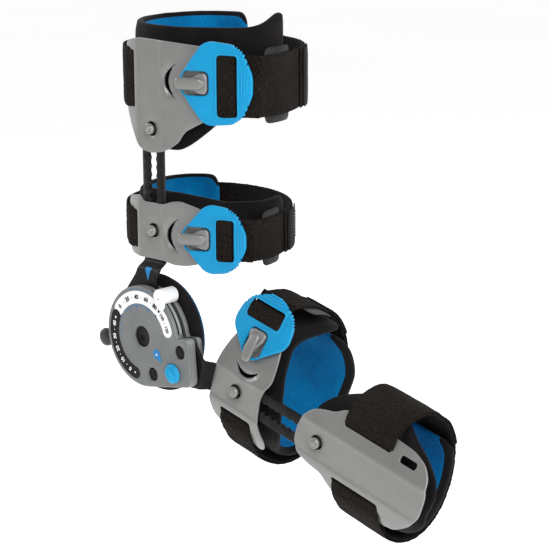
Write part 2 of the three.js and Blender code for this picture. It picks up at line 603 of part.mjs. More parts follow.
const CUFFS = [
  {
    name: "upper_thigh", button: THIGH_BUTTONS[0], channel: [162, 240],
    outline: [[-12, 155.5], [0, 153.8], [12.5, 155.8], [20, 158.4], [28.5, 165.1], [32.8, 173.6],
      ...edgeAround(214, 1), [46.9, 243.5], [33.4, 245], [16.7, 246.9], [-13.4, 247.6],
      [-36, 243], [-39, 238], [-39, 186], [-35, 181]],
    slots: [[[-SLOT_OUTER_X, -SLOT_INNER_X], [186.5, 239.5]]],
    strapZ: 213, strapWidth: 49,
    strap: [[-54, 8], [-67, 22], [-77, 43], [-82, 72], [-77, 101], [-60, 124], [-34, 136],
      [-2, 138], [25, 130], [48, 116], [69, 95], [84, 69], [93, 42]],
    endPatch: [0.7, 0.82], keeperPatch: [0.92, 0.97],
    liner: [[74, 66], [70, 46], [58, 32], [46, 21.5], [24, 8], [2, 3], [-18, 4], [-34, 10],
      [-48, 20], [-60, 34], [-69, 54], [-72, 76], [-67, 98], [-54, 114], [-37, 121], [-22, 121]],
    linerZ: [155, 257], arms: [184, 257],
    buckle: { z: 214.5, reach: 44.7, halfHeight: 34, window: [14, 31.4], windowHalf: 24.6 },
  },
  {
    name: "lower_thigh", button: THIGH_BUTTONS[1], channel: [71, 109],
    outline: [[-13, 64.2], [12.5, 64.6], [16, 64.6], [23, 62.2], [33, 62], [41, 64],
      ...edgeAround(87, 0.68).slice(1), [45.1, 110.4], [29, 116], [22, 115.6], [14, 112.3], [-10, 112],
      [-15, 117.2], [-36, 113], [-39, 108], [-39, 70], [-35, 64]],
    slots: [[[-SLOT_OUTER_X, -SLOT_INNER_X], [68, 106]]],
    strapZ: 87, strapWidth: 34,
    strap: [[-54, 8], [-66, 21], [-76, 41], [-80, 67], [-75, 92], [-59, 111], [-35, 122],
      [-4, 124], [24, 116], [48, 101], [68, 80], [81, 57], [87, 36]],
    endPatch: [0.74, 0.86], keeperPatch: [0.92, 0.98],
    liner: [[60, 78], [67, 61], [65, 45], [57, 33], [46, 22.5], [24, 8.5], [2, 3], [-18, 4],
      [-34, 10], [-48, 20], [-60, 34], [-68, 52], [-70, 73], [-64, 91], [-52, 100], [-38, 100]],
    linerZ: [61, 120], arms: [64, 114],
    buckle: { z: 87, reach: 38.2, halfHeight: 29, window: [12, 27.6], windowHalf: 17.2 },
  },
  {
    name: "upper_calf", button: -CALF_BUTTONS[0], channel: [-123, -82],
    outline: [[12.8, -74.9], [24.4, -75.1], [36.6, -77.8], [50, -84], [59, -92], [62, -105],
      [59, -118], [52, -126], [44.8, -129.2], [34.2, -132], [23.4, -134.2], [16.1, -131.1],
      [5, -127.5], [-10, -128.5], [-24, -132], [-35, -128], [-39, -122], [-39, -84], [-33, -76],
      [-20, -72.9]].reverse(),
    slots: [[[-SLOT_OUTER_X, -SLOT_INNER_X], [-122.5, -82.5]]],
    strapZ: -103, strapWidth: 36,
    strap: [[-54, 8], [-64, 22], [-71, 42], [-68, 64], [-54, 82], [-30, 94], [-4, 98],
      [26, 94], [51, 81], [70, 63], [82, 45], [87, 30]],
    endPatch: [0.68, 0.8], keeperPatch: [0.92, 0.98],
    liner: [[67, 52], [60, 40], [50, 29.5], [38, 19.5], [22, 9], [2, 3], [-18, 4],
      [-34, 10], [-47, 20], [-57, 34], [-60, 48], [-57, 63], [-46, 75], [-28, 83], [-6, 87],
      [16, 86], [34, 80], [48, 68]],
    linerZ: [-140, -76], arms: [-126, -84],
    buckle: { z: -105, reach: 37, halfHeight: 30, window: [12, 27.6], windowHalf: 18.2 },
  },
  {
    name: "lower_calf", button: -CALF_BUTTONS[1], channel: [-298, -180],
    outline: [[-8, -169.7], [6, -170.5], [17, -174.5], [24.7, -181], [28, -190.5], [30, -200],
      [35.3, -207.7], [36.8, -215], [36.8, -258], [35.4, -280], [31, -293], [22.9, -301],
      [8, -303.4], [-9.3, -301.5], [-20, -295], [-27, -287.4], [-36, -276], [-39, -262],
      [-39, -214], [-32, -206], [-24, -200.9], [-22, -188.4], [-17.5, -176.2]].reverse(),
    slots: [[[-SLOT_OUTER_X, -SLOT_INNER_X], [-264, -208.6]], [[24.5, 31], [-265, -210.6]],
      [[23.6, 29.2], [-287, -271]]],
    strapZ: -237, strapWidth: 50,
    strap: [[-54, 9], [-63, 24], [-67, 42], [-62, 60], [-46, 73], [-18, 78], [8, 73],
      [29, 60], [44, 43], [51, 26], [49, 10]],
    endPatch: [0.6, 0.74],
    liner: [[12, 60], [26, 50], [35, 39], [39, 26], [33, 14], [19, 6], [2, 3], [-18, 4],
      [-34, 10], [-47, 20], [-55, 32], [-57, 45], [-51, 57], [-38, 64], [-18, 67]],
    linerZ: [-316, -172], arms: [-270, -205],
  },
];

function cuffGroup(cuff) {
  const group = new THREE.Group();
  const put = (piece, body, look) => group.add(mesh(`${cuff.name}_${piece}`, body, look));
  put("shell", shell(cuff), GREY);
  put("bar_keeper", barKeeper(cuff), BLACK);
  put("button", button(cuff), STEEL);
  put("button_spring", buttonSpring(cuff), STEEL);
  put("liner", liner(cuff), LINING);
  put("strap", strap(cuff), FABRIC);
  put("strap_end", strapEnd(cuff), FABRIC);
  if (cuff.buckle) {
    put("buckle", buckle(cuff), BLUE);
    put("strap_fold", strapFold(cuff), FABRIC);
    put("keeper_tab", keeperTab(cuff), BLACK);
  }
  return group;
}

// ---- assembly ----

const calfCuffs = new THREE.Group();
calfCuffs.add(...CUFFS.slice(2).map(cuffGroup));
calfCuffs.position.set(
  CALF_OFFSET * Math.cos(REST_FLEXION), 0, CALF_OFFSET * Math.sin(REST_FLEXION));
calfCuffs.rotation.y = -REST_FLEXION;

const brace = new THREE.Group();
brace.add(thighUpright(), hinge(), ...CUFFS.slice(0, 2).map(cuffGroup), calfCuffs);

export default brace;
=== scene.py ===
"""Looks for the knee brace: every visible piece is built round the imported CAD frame, in millimetres."""

import math

import bmesh
import bpy
import numpy as np
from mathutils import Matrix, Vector, noise
from mathutils.geometry import delaunay_2d_cdt


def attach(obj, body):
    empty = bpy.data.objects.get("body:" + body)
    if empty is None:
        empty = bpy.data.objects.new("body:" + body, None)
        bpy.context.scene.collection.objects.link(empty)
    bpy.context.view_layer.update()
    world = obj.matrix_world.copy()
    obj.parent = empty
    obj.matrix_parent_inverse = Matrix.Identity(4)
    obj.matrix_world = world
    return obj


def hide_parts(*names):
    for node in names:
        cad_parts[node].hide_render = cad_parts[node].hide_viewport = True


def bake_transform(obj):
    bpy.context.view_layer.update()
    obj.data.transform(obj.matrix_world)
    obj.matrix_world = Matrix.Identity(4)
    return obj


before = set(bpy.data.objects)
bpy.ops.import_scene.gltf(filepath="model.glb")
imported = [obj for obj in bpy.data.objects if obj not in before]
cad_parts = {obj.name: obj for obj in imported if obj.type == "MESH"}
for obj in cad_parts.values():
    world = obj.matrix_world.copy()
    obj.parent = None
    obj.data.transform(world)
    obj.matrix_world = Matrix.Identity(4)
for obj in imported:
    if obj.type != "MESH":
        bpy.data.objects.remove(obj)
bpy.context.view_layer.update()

MM = 0.001
CLOTH_FRAMES = 20
REST_FLEXION = math.radians(76.2)
CALF_OFFSET = -7.2
SHELL_FACE, SHELL_WALL = -14.0, 1.8
BAR_FRONT, BAR_BACK = -11.8, -8.8
PLATE_FRONT, PLATE_BACK = -19.8, -16.8
HINGE_FRONT, COVER_BACK = -28.1, -20.4
REAR_COVER = (-15.8, -11.6)
COVER_RADIUS = 43.0
RIVETS = ((12.5, -30.3), (45.8, -5.0))
LOCK = (38.3, -23.8)
LOCK_TRAVEL = 5.0
LOCK_DROP = (18.6, -11.6)
PITCH = 7.1
BUCKLE_AT = (50.0, SHELL_FACE + 9.7)
BUCKLE_SLOPE = math.radians(25)
THIGH_BUTTONS = (173.8, 88.6)
CALF_BUTTONS = (99.6, 191.9)

scene = bpy.context.scene


# ---- placing ----

def frame_matrix(angle, offset):
    """Cuff coordinates to the row frame: turned about Y, then moved."""
    c, s = math.cos(angle), math.sin(angle)
    return np.array([[c, 0, s, offset[0]], [0, 1, 0, offset[1]], [-s, 0, c, offset[2]], [0, 0, 0, 1]])


THIGH = frame_matrix(0, (0, 0, 0))
CALF = frame_matrix(-REST_FLEXION, (CALF_OFFSET * math.cos(REST_FLEXION), 0,
                                    CALF_OFFSET * math.sin(REST_FLEXION)))


def placed(points, place):
    points = np.asarray(points, float)
    return points @ place[:3, :3].T + place[:3, 3]


# ---- materials ----

def nodes_of(name):
    mat = bpy.data.materials.new(name)
    mat.use_nodes = True
    tree = mat.node_tree
    return mat, tree, tree.nodes["Principled BSDF"]


def feed(tree, socket, value):
    """Links an input to another node's output, or sets it to a constant."""
    if isinstance(value, bpy.types.NodeSocket):
        tree.links.new(value, socket)
    else:
        socket.default_value = value


def add_node(tree, kind, settings=None, at=None, **inputs):
    """A node with its inputs given by name, or by number in at where names repeat."""
    node = tree.nodes.new(kind)
    for key, value in (settings or {}).items():
        setattr(node, key, value)
    for key, value in inputs.items():
        feed(tree, node.inputs[key.replace("_", " ")], value)
    for key, value in (at or {}).items():
        feed(tree, node.inputs[key], value)
    return node


def ramp(tree, factor, stops):
    node = add_node(tree, "ShaderNodeValToRGB", Fac=factor)
    elements = node.color_ramp.elements
    while len(elements) < len(stops):
        elements.new(0.5)
    for element, (position, colour) in zip(elements, stops):
        element.position = position
        element.color = (*colour, 1)
    return node.outputs["Color"]


def noise_node(tree, scale, detail=3.0, stretch=None, roughness=0.5):
    coord = tree.nodes.new("ShaderNodeTexCoord").outputs["Object"]
    if stretch:
        coord = add_node(tree, "ShaderNodeMapping", Vector=coord, Scale=stretch).outputs["Vector"]
    return add_node(tree, "ShaderNodeTexNoise", Vector=coord, Scale=scale, Detail=detail,
                    Roughness=roughness).outputs["Fac"]


def bump(tree, height, strength, distance, normal=None):
    before = {"Normal": normal} if normal else {}
    return add_node(tree, "ShaderNodeBump", Height=height, Strength=strength, Distance=distance,
                    **before).outputs["Normal"]


def mix(tree, factor, a, b):
    """Colour a turned towards b. Each is a socket or three numbers."""
    a, b = (c if isinstance(c, bpy.types.NodeSocket) else (*c, 1) for c in (a, b))
    return add_node(tree, "ShaderNodeMix", {"data_type": "RGBA"}, {0: factor, 6: a, 7: b}).outputs[2]


def set_inputs(tree, shader, **values):
    for key, value in values.items():
        feed(tree, shader.inputs[key.replace("_", " ")], value)


def surface(name, dark, light, rough, metallic=0.0, grain=900, grain_depth=0.00004, mottle=60, coat=0.0,
            wear_and_highlight=None, stretch=None, fine=None, fine_depth=0.0, specular=0.5):
    """A finish whose colour and roughness drift, with a grain of its own and, where asked, lighter edges that
    are partly wear and partly a painted highlight.
    """
    mat, tree, shader = nodes_of(name)
    colour = ramp(tree, noise_node(tree, mottle, 4.0, stretch), [(0.3, dark), (0.7, light)])
    if wear_and_highlight:
        # pointed edges and bends take a lighter colour: partly edge wear, partly a painted highlight
        point = tree.nodes.new("ShaderNodeNewGeometry").outputs["Pointiness"]
        edge = ramp(tree, point, [(0.52, (0, 0, 0)), (0.6, (1, 1, 1))])
        colour = mix(tree, edge, colour, wear_and_highlight)
    low, high = rough
    shade = ramp(tree, noise_node(tree, mottle * 2.5, 3.0, stretch), [(0.3, (low,) * 3), (0.7, (high,) * 3)])
    normal = bump(tree, noise_node(tree, grain, 4.0, stretch), 1.0, grain_depth)
    if fine:
        normal = bump(tree, noise_node(tree, fine, 2.0), 1.0, fine_depth, normal)
    set_inputs(tree, shader, Base_Color=colour, Roughness=shade, Normal=normal, Metallic=metallic,
               Specular_IOR_Level=specular, Coat_Weight=coat)
    return mat


def fabric(name, dark, light, cell, depth, fleck=0.5, sheen=0.3, lint=None):
    """Brushed or looped cloth: small tufts, broad drift and stray lighter fibres."""
    mat, tree, shader = nodes_of(name)
    coord = tree.nodes.new("ShaderNodeTexCoord").outputs["Object"]
    warp = add_node(tree, "ShaderNodeTexNoise", Vector=coord, Scale=0.6 / cell, Detail=2.0).outputs["Color"]
    bent = add_node(tree, "ShaderNodeMix", {"data_type": "VECTOR"}, {0: cell * 1.2, 4: coord, 5: warp})
    tufts = add_node(tree, "ShaderNodeTexVoronoi", {"feature": "SMOOTH_F1"}, Vector=bent.outputs[1],
                     Scale=1 / cell).outputs["Distance"]
    fibres = noise_node(tree, 2.2 / cell, 4.0, None, 0.7)
    drift = add_node(tree, "ShaderNodeMath", {"operation": "MULTIPLY"},
                     {0: noise_node(tree, 25, 3.0), 1: 1 - fleck}).outputs["Value"]
    shade = add_node(tree, "ShaderNodeMath", {"operation": "MULTIPLY_ADD"},
                     {0: fibres, 1: fleck, 2: drift}).outputs["Value"]
    colour = ramp(tree, shade, [(0.40, dark), (0.60, light)])
    if lint:
        strands = noise_node(tree, 1.3 / cell, 6.0, None, 0.8)
        colour = mix(tree, ramp(tree, strands, [(0.60, (0, 0, 0)), (0.70, (1, 1, 1))]), colour, lint)
    roughness = ramp(tree, fibres, [(0.3, (0.8,) * 3), (0.7, (0.95,) * 3)])
    normal = bump(tree, fibres, 0.9, depth * 0.8, bump(tree, tufts, 0.8, depth))
    set_inputs(tree, shader, Base_Color=colour, Roughness=roughness, Normal=normal, Sheen_Weight=sheen,
               Sheen_Roughness=0.5, Specular_IOR_Level=0.07)
    return mat


# In the finishes below, the lighter edge colours stand partly for wear and partly for a painted highlight on
# edges and bends.
GREY = surface("shell_grey", (0.178, 0.178, 0.171), (0.212, 0.212, 0.204), (0.32, 0.44), 0.42, grain=1600,
               grain_depth=0.00002, mottle=28, wear_and_highlight=(0.40, 0.40, 0.39), coat=0.15)
COVER = surface("cover_grey", (0.128, 0.136, 0.134), (0.158, 0.167, 0.165), (0.36, 0.5), 0.15, grain=1500,
                grain_depth=0.00003, mottle=35, wear_and_highlight=(0.36, 0.37, 0.37))
BLACK_BAR = surface("bar_black", (0.004, 0.0034, 0.003), (0.009, 0.0078, 0.007), (0.28, 0.42), 0.1, grain=500,
                    grain_depth=0.00003, mottle=40, wear_and_highlight=(0.045, 0.042, 0.04), stretch=(6, 1, 1),
                    specular=0.13)
BLACK = surface("plastic_black", (0.0025, 0.0022, 0.0022), (0.006, 0.0055, 0.0055), (0.3, 0.48), 0.0,
                grain=1800, grain_depth=0.00004, mottle=50, specular=0.14)
KNOB = surface("knob_black", (0.008, 0.0075, 0.009), (0.016, 0.015, 0.018), (0.38, 0.5), 0.0, grain=1600,
               grain_depth=0.00005, mottle=60, specular=0.45)
TAB = surface("tab_black", (0.006, 0.0058, 0.006), (0.013, 0.0125, 0.013), (0.45, 0.62), 0.0, grain=2600,
              grain_depth=0.00006, mottle=70, fine=700, fine_depth=0.00008, specular=0.3)
WHITE = surface("plastic_white", (0.74, 0.75, 0.76), (0.82, 0.83, 0.84), (0.32, 0.45), 0.0, grain=1500,
                grain_depth=0.00002, mottle=50, specular=0.4)
BLUE = surface("buckle_blue", (0.0002, 0.222, 0.45), (0.0005, 0.258, 0.51), (0.34, 0.48), 0.0, grain=1900,
               grain_depth=0.00004, mottle=45, wear_and_highlight=(0.03, 0.42, 0.72), specular=0.25)
PRINT_BLUE = surface("print_blue", (0.001, 0.15, 0.40), (0.002, 0.20, 0.50), (0.4, 0.5), mottle=200,
                     specular=0.3)
STEEL = surface("button_steel", (0.17, 0.166, 0.158), (0.26, 0.255, 0.243), (0.34, 0.5), 0.75, grain=1400,
                grain_depth=0.00002, mottle=300, wear_and_highlight=(0.5, 0.49, 0.47))
STRAP = fabric("strap_loop", (0.0004, 0.0003, 0.0002), (0.019, 0.0148, 0.0122), 0.0021, 0.0012, 0.85, 0.012,
               lint=(0.10, 0.083, 0.07))
TAB_GREY = surface("tab_grey", (0.030, 0.028, 0.028), (0.052, 0.049, 0.049), (0.5, 0.66), 0.0, grain=2600,
                   grain_depth=0.00006, mottle=70, fine=700, fine_depth=0.0001, specular=0.3)
STRAP_TAB = fabric("strap_end_weave", (0.005, 0.0045, 0.0045), (0.014, 0.013, 0.013), 0.0007, 0.00015, 0.6,
                   0.04)
LINER_OUT = fabric("liner_black", (0.003, 0.0027, 0.003), (0.014, 0.012, 0.0135), 0.0011, 0.0003, 0.6, 0.05,
                   lint=(0.03, 0.028, 0.032))
BINDING = fabric("binding_black", (0.004, 0.0036, 0.004), (0.011, 0.010, 0.0105), 0.0006, 0.00015, 0.6, 0.04)
LINER_IN = fabric("liner_blue", (0.0001, 0.075, 0.225), (0.0004, 0.205, 0.46), 0.0014, 0.0006, 0.7, 0.02,
                  lint=(0.005, 0.38, 0.72))


# ---- outlines: closed loops of points in a flat plane ----

def area(loop):
    a, b = np.asarray(loop, float), np.roll(np.asarray(loop, float), -1, 0)
    return float(np.sum(a[:, 0] * b[:, 1] - b[:, 0] * a[:, 1]) / 2)


def turn_way(loop, sign):
    loop = np.asarray(loop, float)
    return loop if area(loop) * sign > 0 else loop[::-1]


def resample(points, spacing, closed=True, whole=math.ceil):
    """Points about a spacing apart along straight runs. whole rounds the number of steps."""
    points = [np.asarray(p, float) for p in points]
    out = []
    for p, q in zip(points, points[1:] + points[:1] if closed else points[1:]):
        length = np.linalg.norm(q - p)
        if length >= 0.05:
            n = max(1, whole(length / spacing))
            out.extend(p + (q - p) * k / n for k in range(n))
    return np.array(out if closed else out + points[-1:])


def rounded(points, radius, spacing=2.0, steps=5):
    points = [np.asarray(p, float) for p in points]
    out = []
    for i, p in enumerate(points):
        a, b = points[i - 1] - p, points[(i + 1) % len(points)] - p
        la, lb = np.linalg.norm(a), np.linalg.norm(b)
        back = min(radius, 0.45 * la, 0.45 * lb)
        out += quadratic(p + a / la * back, p, p + b / lb * back, steps + 1)
    return resample(out, spacing)


def quadratic(a, control, b, n=10):
    a, control, b = (np.asarray(p, float) for p in (a, control, b))
    return [(1 - t) ** 2 * a + 2 * t * (1 - t) * control + t * t * b for t in np.linspace(0, 1, n)]


def rectangle(x0, x1, z0, z1, radius, spacing=2.0):
    return rounded([(x0, z0), (x1, z0), (x1, z1), (x0, z1)], radius, spacing)


def circle(radius, x=0.0, z=0.0, n=40):
    a = np.arange(n) * 2 * math.pi / n
    return np.stack([x + radius * np.sin(a), z + radius * np.cos(a)], 1)


def dial(radius, angle):
    return np.array([radius * math.sin(math.radians(angle)), radius * math.cos(math.radians(angle))])


def dial_arc(radius, start, end, step=2.5):
    n = max(2, math.ceil(abs(end - start) / step))
    return [dial(radius, start + (end - start) * k / n) for k in range(n + 1)]


def sector(r0, r1, start, end):
    return np.array(dial_arc(r0, start, end) + dial_arc(r1, end, start))


def capsule_arc(r0, r1, start, end):
    """A ring sector with round ends."""
    mid, half = (r0 + r1) / 2, (r1 - r0) / 2
    def cap(angle, way):
        centre, out = dial(mid, angle), dial(1, angle)
        along = np.array([out[1], -out[0]]) * way
        return [centre + half * (out * math.cos(t) + along * math.sin(t))
                for t in np.linspace(0, math.pi, 9)[1:-1]]
    return np.array(dial_arc(r1, start, end) + cap(end, 1) + dial_arc(r0, end, start) + cap(start, -1)[::-1])


def inset(loop, distance):
    """A loop moved to its left: inwards for an outline that turns left, into the sheet for a hole."""
    loop = np.asarray(loop, float)
    before, after = loop - np.roll(loop, 1, 0), np.roll(loop, -1, 0) - loop
    before /= np.linalg.norm(before, axis=1)[:, None]
    after /= np.linalg.norm(after, axis=1)[:, None]
    n1, n2 = (np.stack([-v[:, 1], v[:, 0]], 1) for v in (before, after))
    m = n1 + n2
    m /= np.linalg.norm(m, axis=1)[:, None]
    scale = 1 / np.maximum((m * n1).sum(1), 0.6)
    return loop + m * (scale * distance)[:, None]


def inside(points, loop):
    """Which points lie inside a loop."""
    points, loop = np.asarray(points, float), np.asarray(loop, float)
    hit = np.zeros(len(points), bool)
    a, b = loop, np.roll(loop, -1, 0)
    for (ax, az), (bx, bz) in zip(a, b):
        if az == bz:
            continue
        crosses = (az > points[:, 1]) != (bz > points[:, 1])
        at = ax + (points[:, 1] - az) * (bx - ax) / (bz - az)
        hit ^= crosses & (points[:, 0] < at)
    return hit


def gap_to(points, loop):
    """The distance from each point to the nearest point of a loop."""
    points, loop = np.asarray(points, float), np.asarray(loop, float)
    return np.min(np.linalg.norm(points[:, None, :] - loop[None, :, :], axis=2), axis=1)


# ---- meshes ----

def add_mesh(name, verts, faces, materials, which=None, place=THIGH, sharp=38):
    mesh = bpy.data.meshes.new(name)
    mesh.from_pydata([tuple(p) for p in placed(verts, place) * MM], [], faces)
    for material in materials:
        mesh.materials.append(material)
    if which is not None:
        mesh.polygons.foreach_set("material_index", which)
    bm = bmesh.new()
    bm.from_mesh(mesh)
    bmesh.ops.remove_doubles(bm, verts=bm.verts, dist=1e-6)
    bmesh.ops.recalc_face_normals(bm, faces=bm.faces)
    bm.to_mesh(mesh)
    bm.free()
    mesh.shade_smooth()
    mesh.set_sharp_from_angle(angle=math.radians(sharp))
    made = bpy.data.objects.new(name, mesh)
    scene.collection.objects.link(made)
    return made


def flat_warp(x, z, y):
    return np.stack([x, y, z], 1)


def triangulate(loops, extra, grid):
    """Triangles of the region inside loops[0] and outside the rest, as (points, triangles, loop points)."""
    edges, points = [], []
    for loop in loops:
        start, n = len(points), len(loop)
        points.extend(loop)
        edges.extend((start + i, start + (i + 1) % n) for i in range(n))
    fixed = np.array(points)

    def within(where):
        keep = inside(where, loops[0])
        for hole in loops[1:]:
            keep &= ~inside(where, hole)
        return keep

    low, high = loops[0].min(0), loops[0].max(0)
    xs = np.arange(low[0] + grid / 2, high[0], grid)
    zs = np.arange(low[1] + grid / 2, high[1], grid * 0.866)
    inner = [(x + j % 2 * grid / 2, z) for j, z in enumerate(zs) for x in xs]
    inner = np.array(inner).reshape(-1, 2)
    if len(extra):
        near = gap_to(inner, np.asarray(extra)) > grid * 0.5
        inner = np.concatenate([inner[near], np.asarray(extra, float)])
    inner = inner[within(inner)]
    inner = inner[gap_to(inner, fixed) > min(grid * 0.55, 1.2)]
    everything = np.concatenate([fixed, inner])
    out = delaunay_2d_cdt([Vector(p) for p in everything], edges, [], 0, 1e-5)
    final = np.array([(v.x, v.y) for v in out[0]])
    good = within(np.array([final[list(f)].mean(0) for f in out[2]]))
    origin = [o[0] if len(o) else None for o in out[3]]
    return final, [tuple(f) for f, ok in zip(out[2], good) if ok], origin


def plate(name, outer, holes, y0, y1, edge, materials, warp=flat_warp, grid=6.0, extra=(), place=THIGH,
          steps=3, sharp=38):
    """A plate with round edges, cut to an outline with holes and bent by warp(x, z, depth)."""
    loops = [turn_way(outer, 1)] + [turn_way(h, -1) for h in holes]
    front = [(edge * (1 - math.sin(t)), y0 + edge * (1 - math.cos(t)))
             for t in np.linspace(0, math.pi / 2, steps + 1)]
    levels = front + [(i, y0 + y1 - d) for i, d in reversed(front)]
    if abs(levels[steps][1] - levels[steps + 1][1]) < 1e-6:
        del levels[steps + 1]
    verts, faces, rings = [], [], []
    for distance, depth in levels:
        ring = []
        for loop in loops:
            ring.append(range(len(verts), len(verts) + len(loop)))
            verts.extend((x, z, depth) for x, z in inset(loop, distance))
        rings.append(ring)
    flat, triangles, origin = triangulate([inset(loop, edge) for loop in loops], extra, grid)
    for ring, depth in ((rings[0], y0), (rings[-1], y1)):
        rim = [v for part in ring for v in part]
        ids = []
        for (x, z), source in zip(flat, origin):
            if source is not None and source < len(rim):
                ids.append(rim[source])
            else:
                ids.append(len(verts))
                verts.append((x, z, depth))
        faces += [tuple(ids[v] for v in t) for t in triangles]
    for near, far in zip(rings, rings[1:]):
        for a, b in zip(near, far):
            n = len(a)
            faces += [(a[i], a[(i + 1) % n], b[(i + 1) % n], b[i]) for i in range(n)]
    bent = warp(*np.array(verts).T)
    return add_mesh(name, bent, faces, materials, None, place, sharp)


def lathe(name, profile, x, z, materials, place=THIGH, n=48, sharp=38):
    """A turned piece about an axis along Y: the profile lists (radius, y) from axis to axis."""
    a = np.arange(n) * 2 * math.pi / n
    verts = [(x + radius * math.sin(t), y, z + radius * math.cos(t)) for radius, y in profile for t in a]
    faces = [(k * n + i, k * n + (i + 1) % n, (k + 1) * n + (i + 1) % n, (k + 1) * n + i)
             for k in range(len(profile) - 1) for i in range(n)]
    return add_mesh(name, verts, faces, materials, None, place, sharp)


def cut(target, outline, y0, y1, grid=12):
    """Takes out of a mesh what lies inside an outline between two depths."""
    cutter = plate("cutter", outline, [], y0, y1, 0.01, [target.data.materials[0]], grid=grid, steps=1)
    modifier = target.modifiers.new("cut", "BOOLEAN")
    modifier.operation = "DIFFERENCE"
    modifier.solver = "EXACT"
    modifier.object = cutter
    graph = bpy.context.evaluated_depsgraph_get()
    mesh = bpy.data.meshes.new_from_object(target.evaluated_get(graph))
    target.modifiers.clear()
    old = target.data
    target.data = mesh
    bpy.data.meshes.remove(old)
    bpy.data.objects.remove(cutter)


def done(piece, body, slot, *nodes):
    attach(piece, body)
    if nodes:
        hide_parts(*nodes)
    return piece


# ---- swept bands: straps and liners, as rings of points carried along a path ----

def evenly(points, spacing, least):
    """A path's points moved to equal steps along it, with how far along each one is."""
    length = np.concatenate([[0], np.cumsum(np.linalg.norm(np.diff(points, axis=0), axis=1))])
    at = np.linspace(0, length[-1], max(least, round(length[-1] / spacing)) + 1)
    return np.stack([np.interp(at, length, points[:, k]) for k in (0, 1)], 1), at


def spline(points, spacing=1.0):
    """A centripetal curve through points, as (points a fixed distance apart, how far along each is)."""
    p = [np.asarray(q, float) for q in points]
    p = [2 * p[0] - p[1], *p, 2 * p[-1] - p[-2]]
    out = []
    for i in range(1, len(p) - 2):
        a, b, c, d = p[i - 1:i + 3]
        t = np.cumsum([0] + [np.linalg.norm(v) ** 0.5 for v in (b - a, c - b, d - c)])
        for u in np.linspace(t[1], t[2], 24, endpoint=False):
            a1 = (t[1] - u) / (t[1] - t[0]) * a + (u - t[0]) / (t[1] - t[0]) * b
            a2 = (t[2] - u) / (t[2] - t[1]) * b + (u - t[1]) / (t[2] - t[1]) * c
            a3 = (t[3] - u) / (t[3] - t[2]) * c + (u - t[2]) / (t[3] - t[2]) * d
            b1 = (t[2] - u) / (t[2] - t[0]) * a1 + (u - t[0]) / (t[2] - t[0]) * a2
            b2 = (t[3] - u) / (t[3] - t[1]) * a2 + (u - t[1]) / (t[3] - t[1]) * a3
            out.append((t[2] - u) / (t[2] - t[1]) * b1 + (u - t[1]) / (t[2] - t[1]) * b2)
    out.append(p[-2])
    return evenly(np.array(out), spacing, 8)


def ahead_and_left(path):
    """The unit directions along a path and square to it."""
    ahead = np.gradient(path, axis=0)
    ahead /= np.linalg.norm(ahead, axis=1)[:, None]
    return ahead, np.stack([-ahead[:, 1], ahead[:, 0]], 1)


def moved(path, distance):
    return path + distance * ahead_and_left(path)[1]


def rough_up(piece, amount, scale):
    """Pushes a mesh's points in and out by a few tenths of a millimetre, as nap does."""
    count = len(piece.data.vertices)
    co, out = np.empty(count * 3), np.empty(count * 3, np.float32)
    piece.data.vertices.foreach_get("co", co)
    piece.data.vertex_normals.foreach_get("vector", out)
    size = 1 / (scale * MM)
    push = np.array([noise.noise(Vector(p) * size) for p in co.reshape(-1, 3)]) * amount * MM
    piece.data.vertices.foreach_set("co", co + out * np.repeat(push, 3))
    piece.data.update()
    return piece


def puff(piece, free, pressure=4.0, cap=2.5):
    """Swells a piece with the cloth solver, by each point's share in free, and by no more than cap."""
    rest = np.array([v.co for v in piece.data.vertices])
    group = piece.vertex_groups.new(name="held")
    for i, share in enumerate(free):
        group.add([i], float(1 - share), "REPLACE")
    cloth = piece.modifiers.new("cloth", "CLOTH")
    settings = {"use_pressure": True, "uniform_pressure_force": pressure, "vertex_group_mass": "held",
                "pin_stiffness": 1.0, "quality": 4, "mass": 0.3, "tension_stiffness": 12,
                "compression_stiffness": 12, "bending_stiffness": 2.0}
    for key, value in settings.items():
        setattr(cloth.settings, key, value)
    cloth.settings.effector_weights.gravity = 0
    cloth.collision_settings.use_collision = False
    cloth.point_cache.frame_start = 1
    cloth.point_cache.frame_end = CLOTH_FRAMES
    for f in range(1, CLOTH_FRAMES + 1):
        scene.frame_set(f)
    graph = bpy.context.evaluated_depsgraph_get()
    swollen = piece.evaluated_get(graph).to_mesh()
    step = np.array([v.co for v in swollen.vertices]) - rest
    piece.evaluated_get(graph).to_mesh_clear()
    piece.modifiers.clear()
    piece.vertex_groups.clear()
    scene.frame_set(1)
    size = np.linalg.norm(step, axis=1)[:, None]
    step *= np.minimum(1, cap * MM / np.maximum(size, 1e-9))
    piece.data.vertices.foreach_set("co", (rest + step).ravel())
    piece.data.update()


def joined(name, pieces):
    """Several meshes made into one object that keeps all their materials."""
    with bpy.context.temp_override(active_object=pieces[0], selected_objects=pieces,
                                   selected_editable_objects=pieces, object=pieces[0]):
        bpy.ops.object.join()
    pieces[0].name = name
    return pieces[0]


def strip(name, stations, materials, which=None, place=THIGH, sharp=50):
    """A closed skin through rings of points. which gives the material by place in the ring."""
    n = len(stations[0])
    which = which or [0] * n
    verts = [point for station in stations for point in station]
    faces, index = [], []
    for i in range(len(stations) - 1):
        for k in range(n):
            m = (k + 1) % n
            faces.append((i * n + k, i * n + m, (i + 1) * n + m, (i + 1) * n + k))
            index.append(which[k])
    for base in (0, (len(stations) - 1) * n):
        for k in range(n // 2 - 1):
            faces.append((base + k, base + k + 1, base + n - 2 - k, base + n - 1 - k))
            index.append(which[k])
    return add_mesh(name, verts, faces, materials, index, place, sharp)


def ring_section(columns, corner=0.45):
    """A flat band's cross-section as a ring of (across, depth) from -1 to 1."""
    across = np.linspace(-1, 1, columns)
    side = [(1.0, -corner), (1.0, corner)]
    front = [(a, -1.0) for a in across * 0.985]
    back = [(a, 1.0) for a in reversed(across * 0.985)]
    return front + side + back + [(-a, -b) for a, b in side]


# ---- the shells' bent section ----

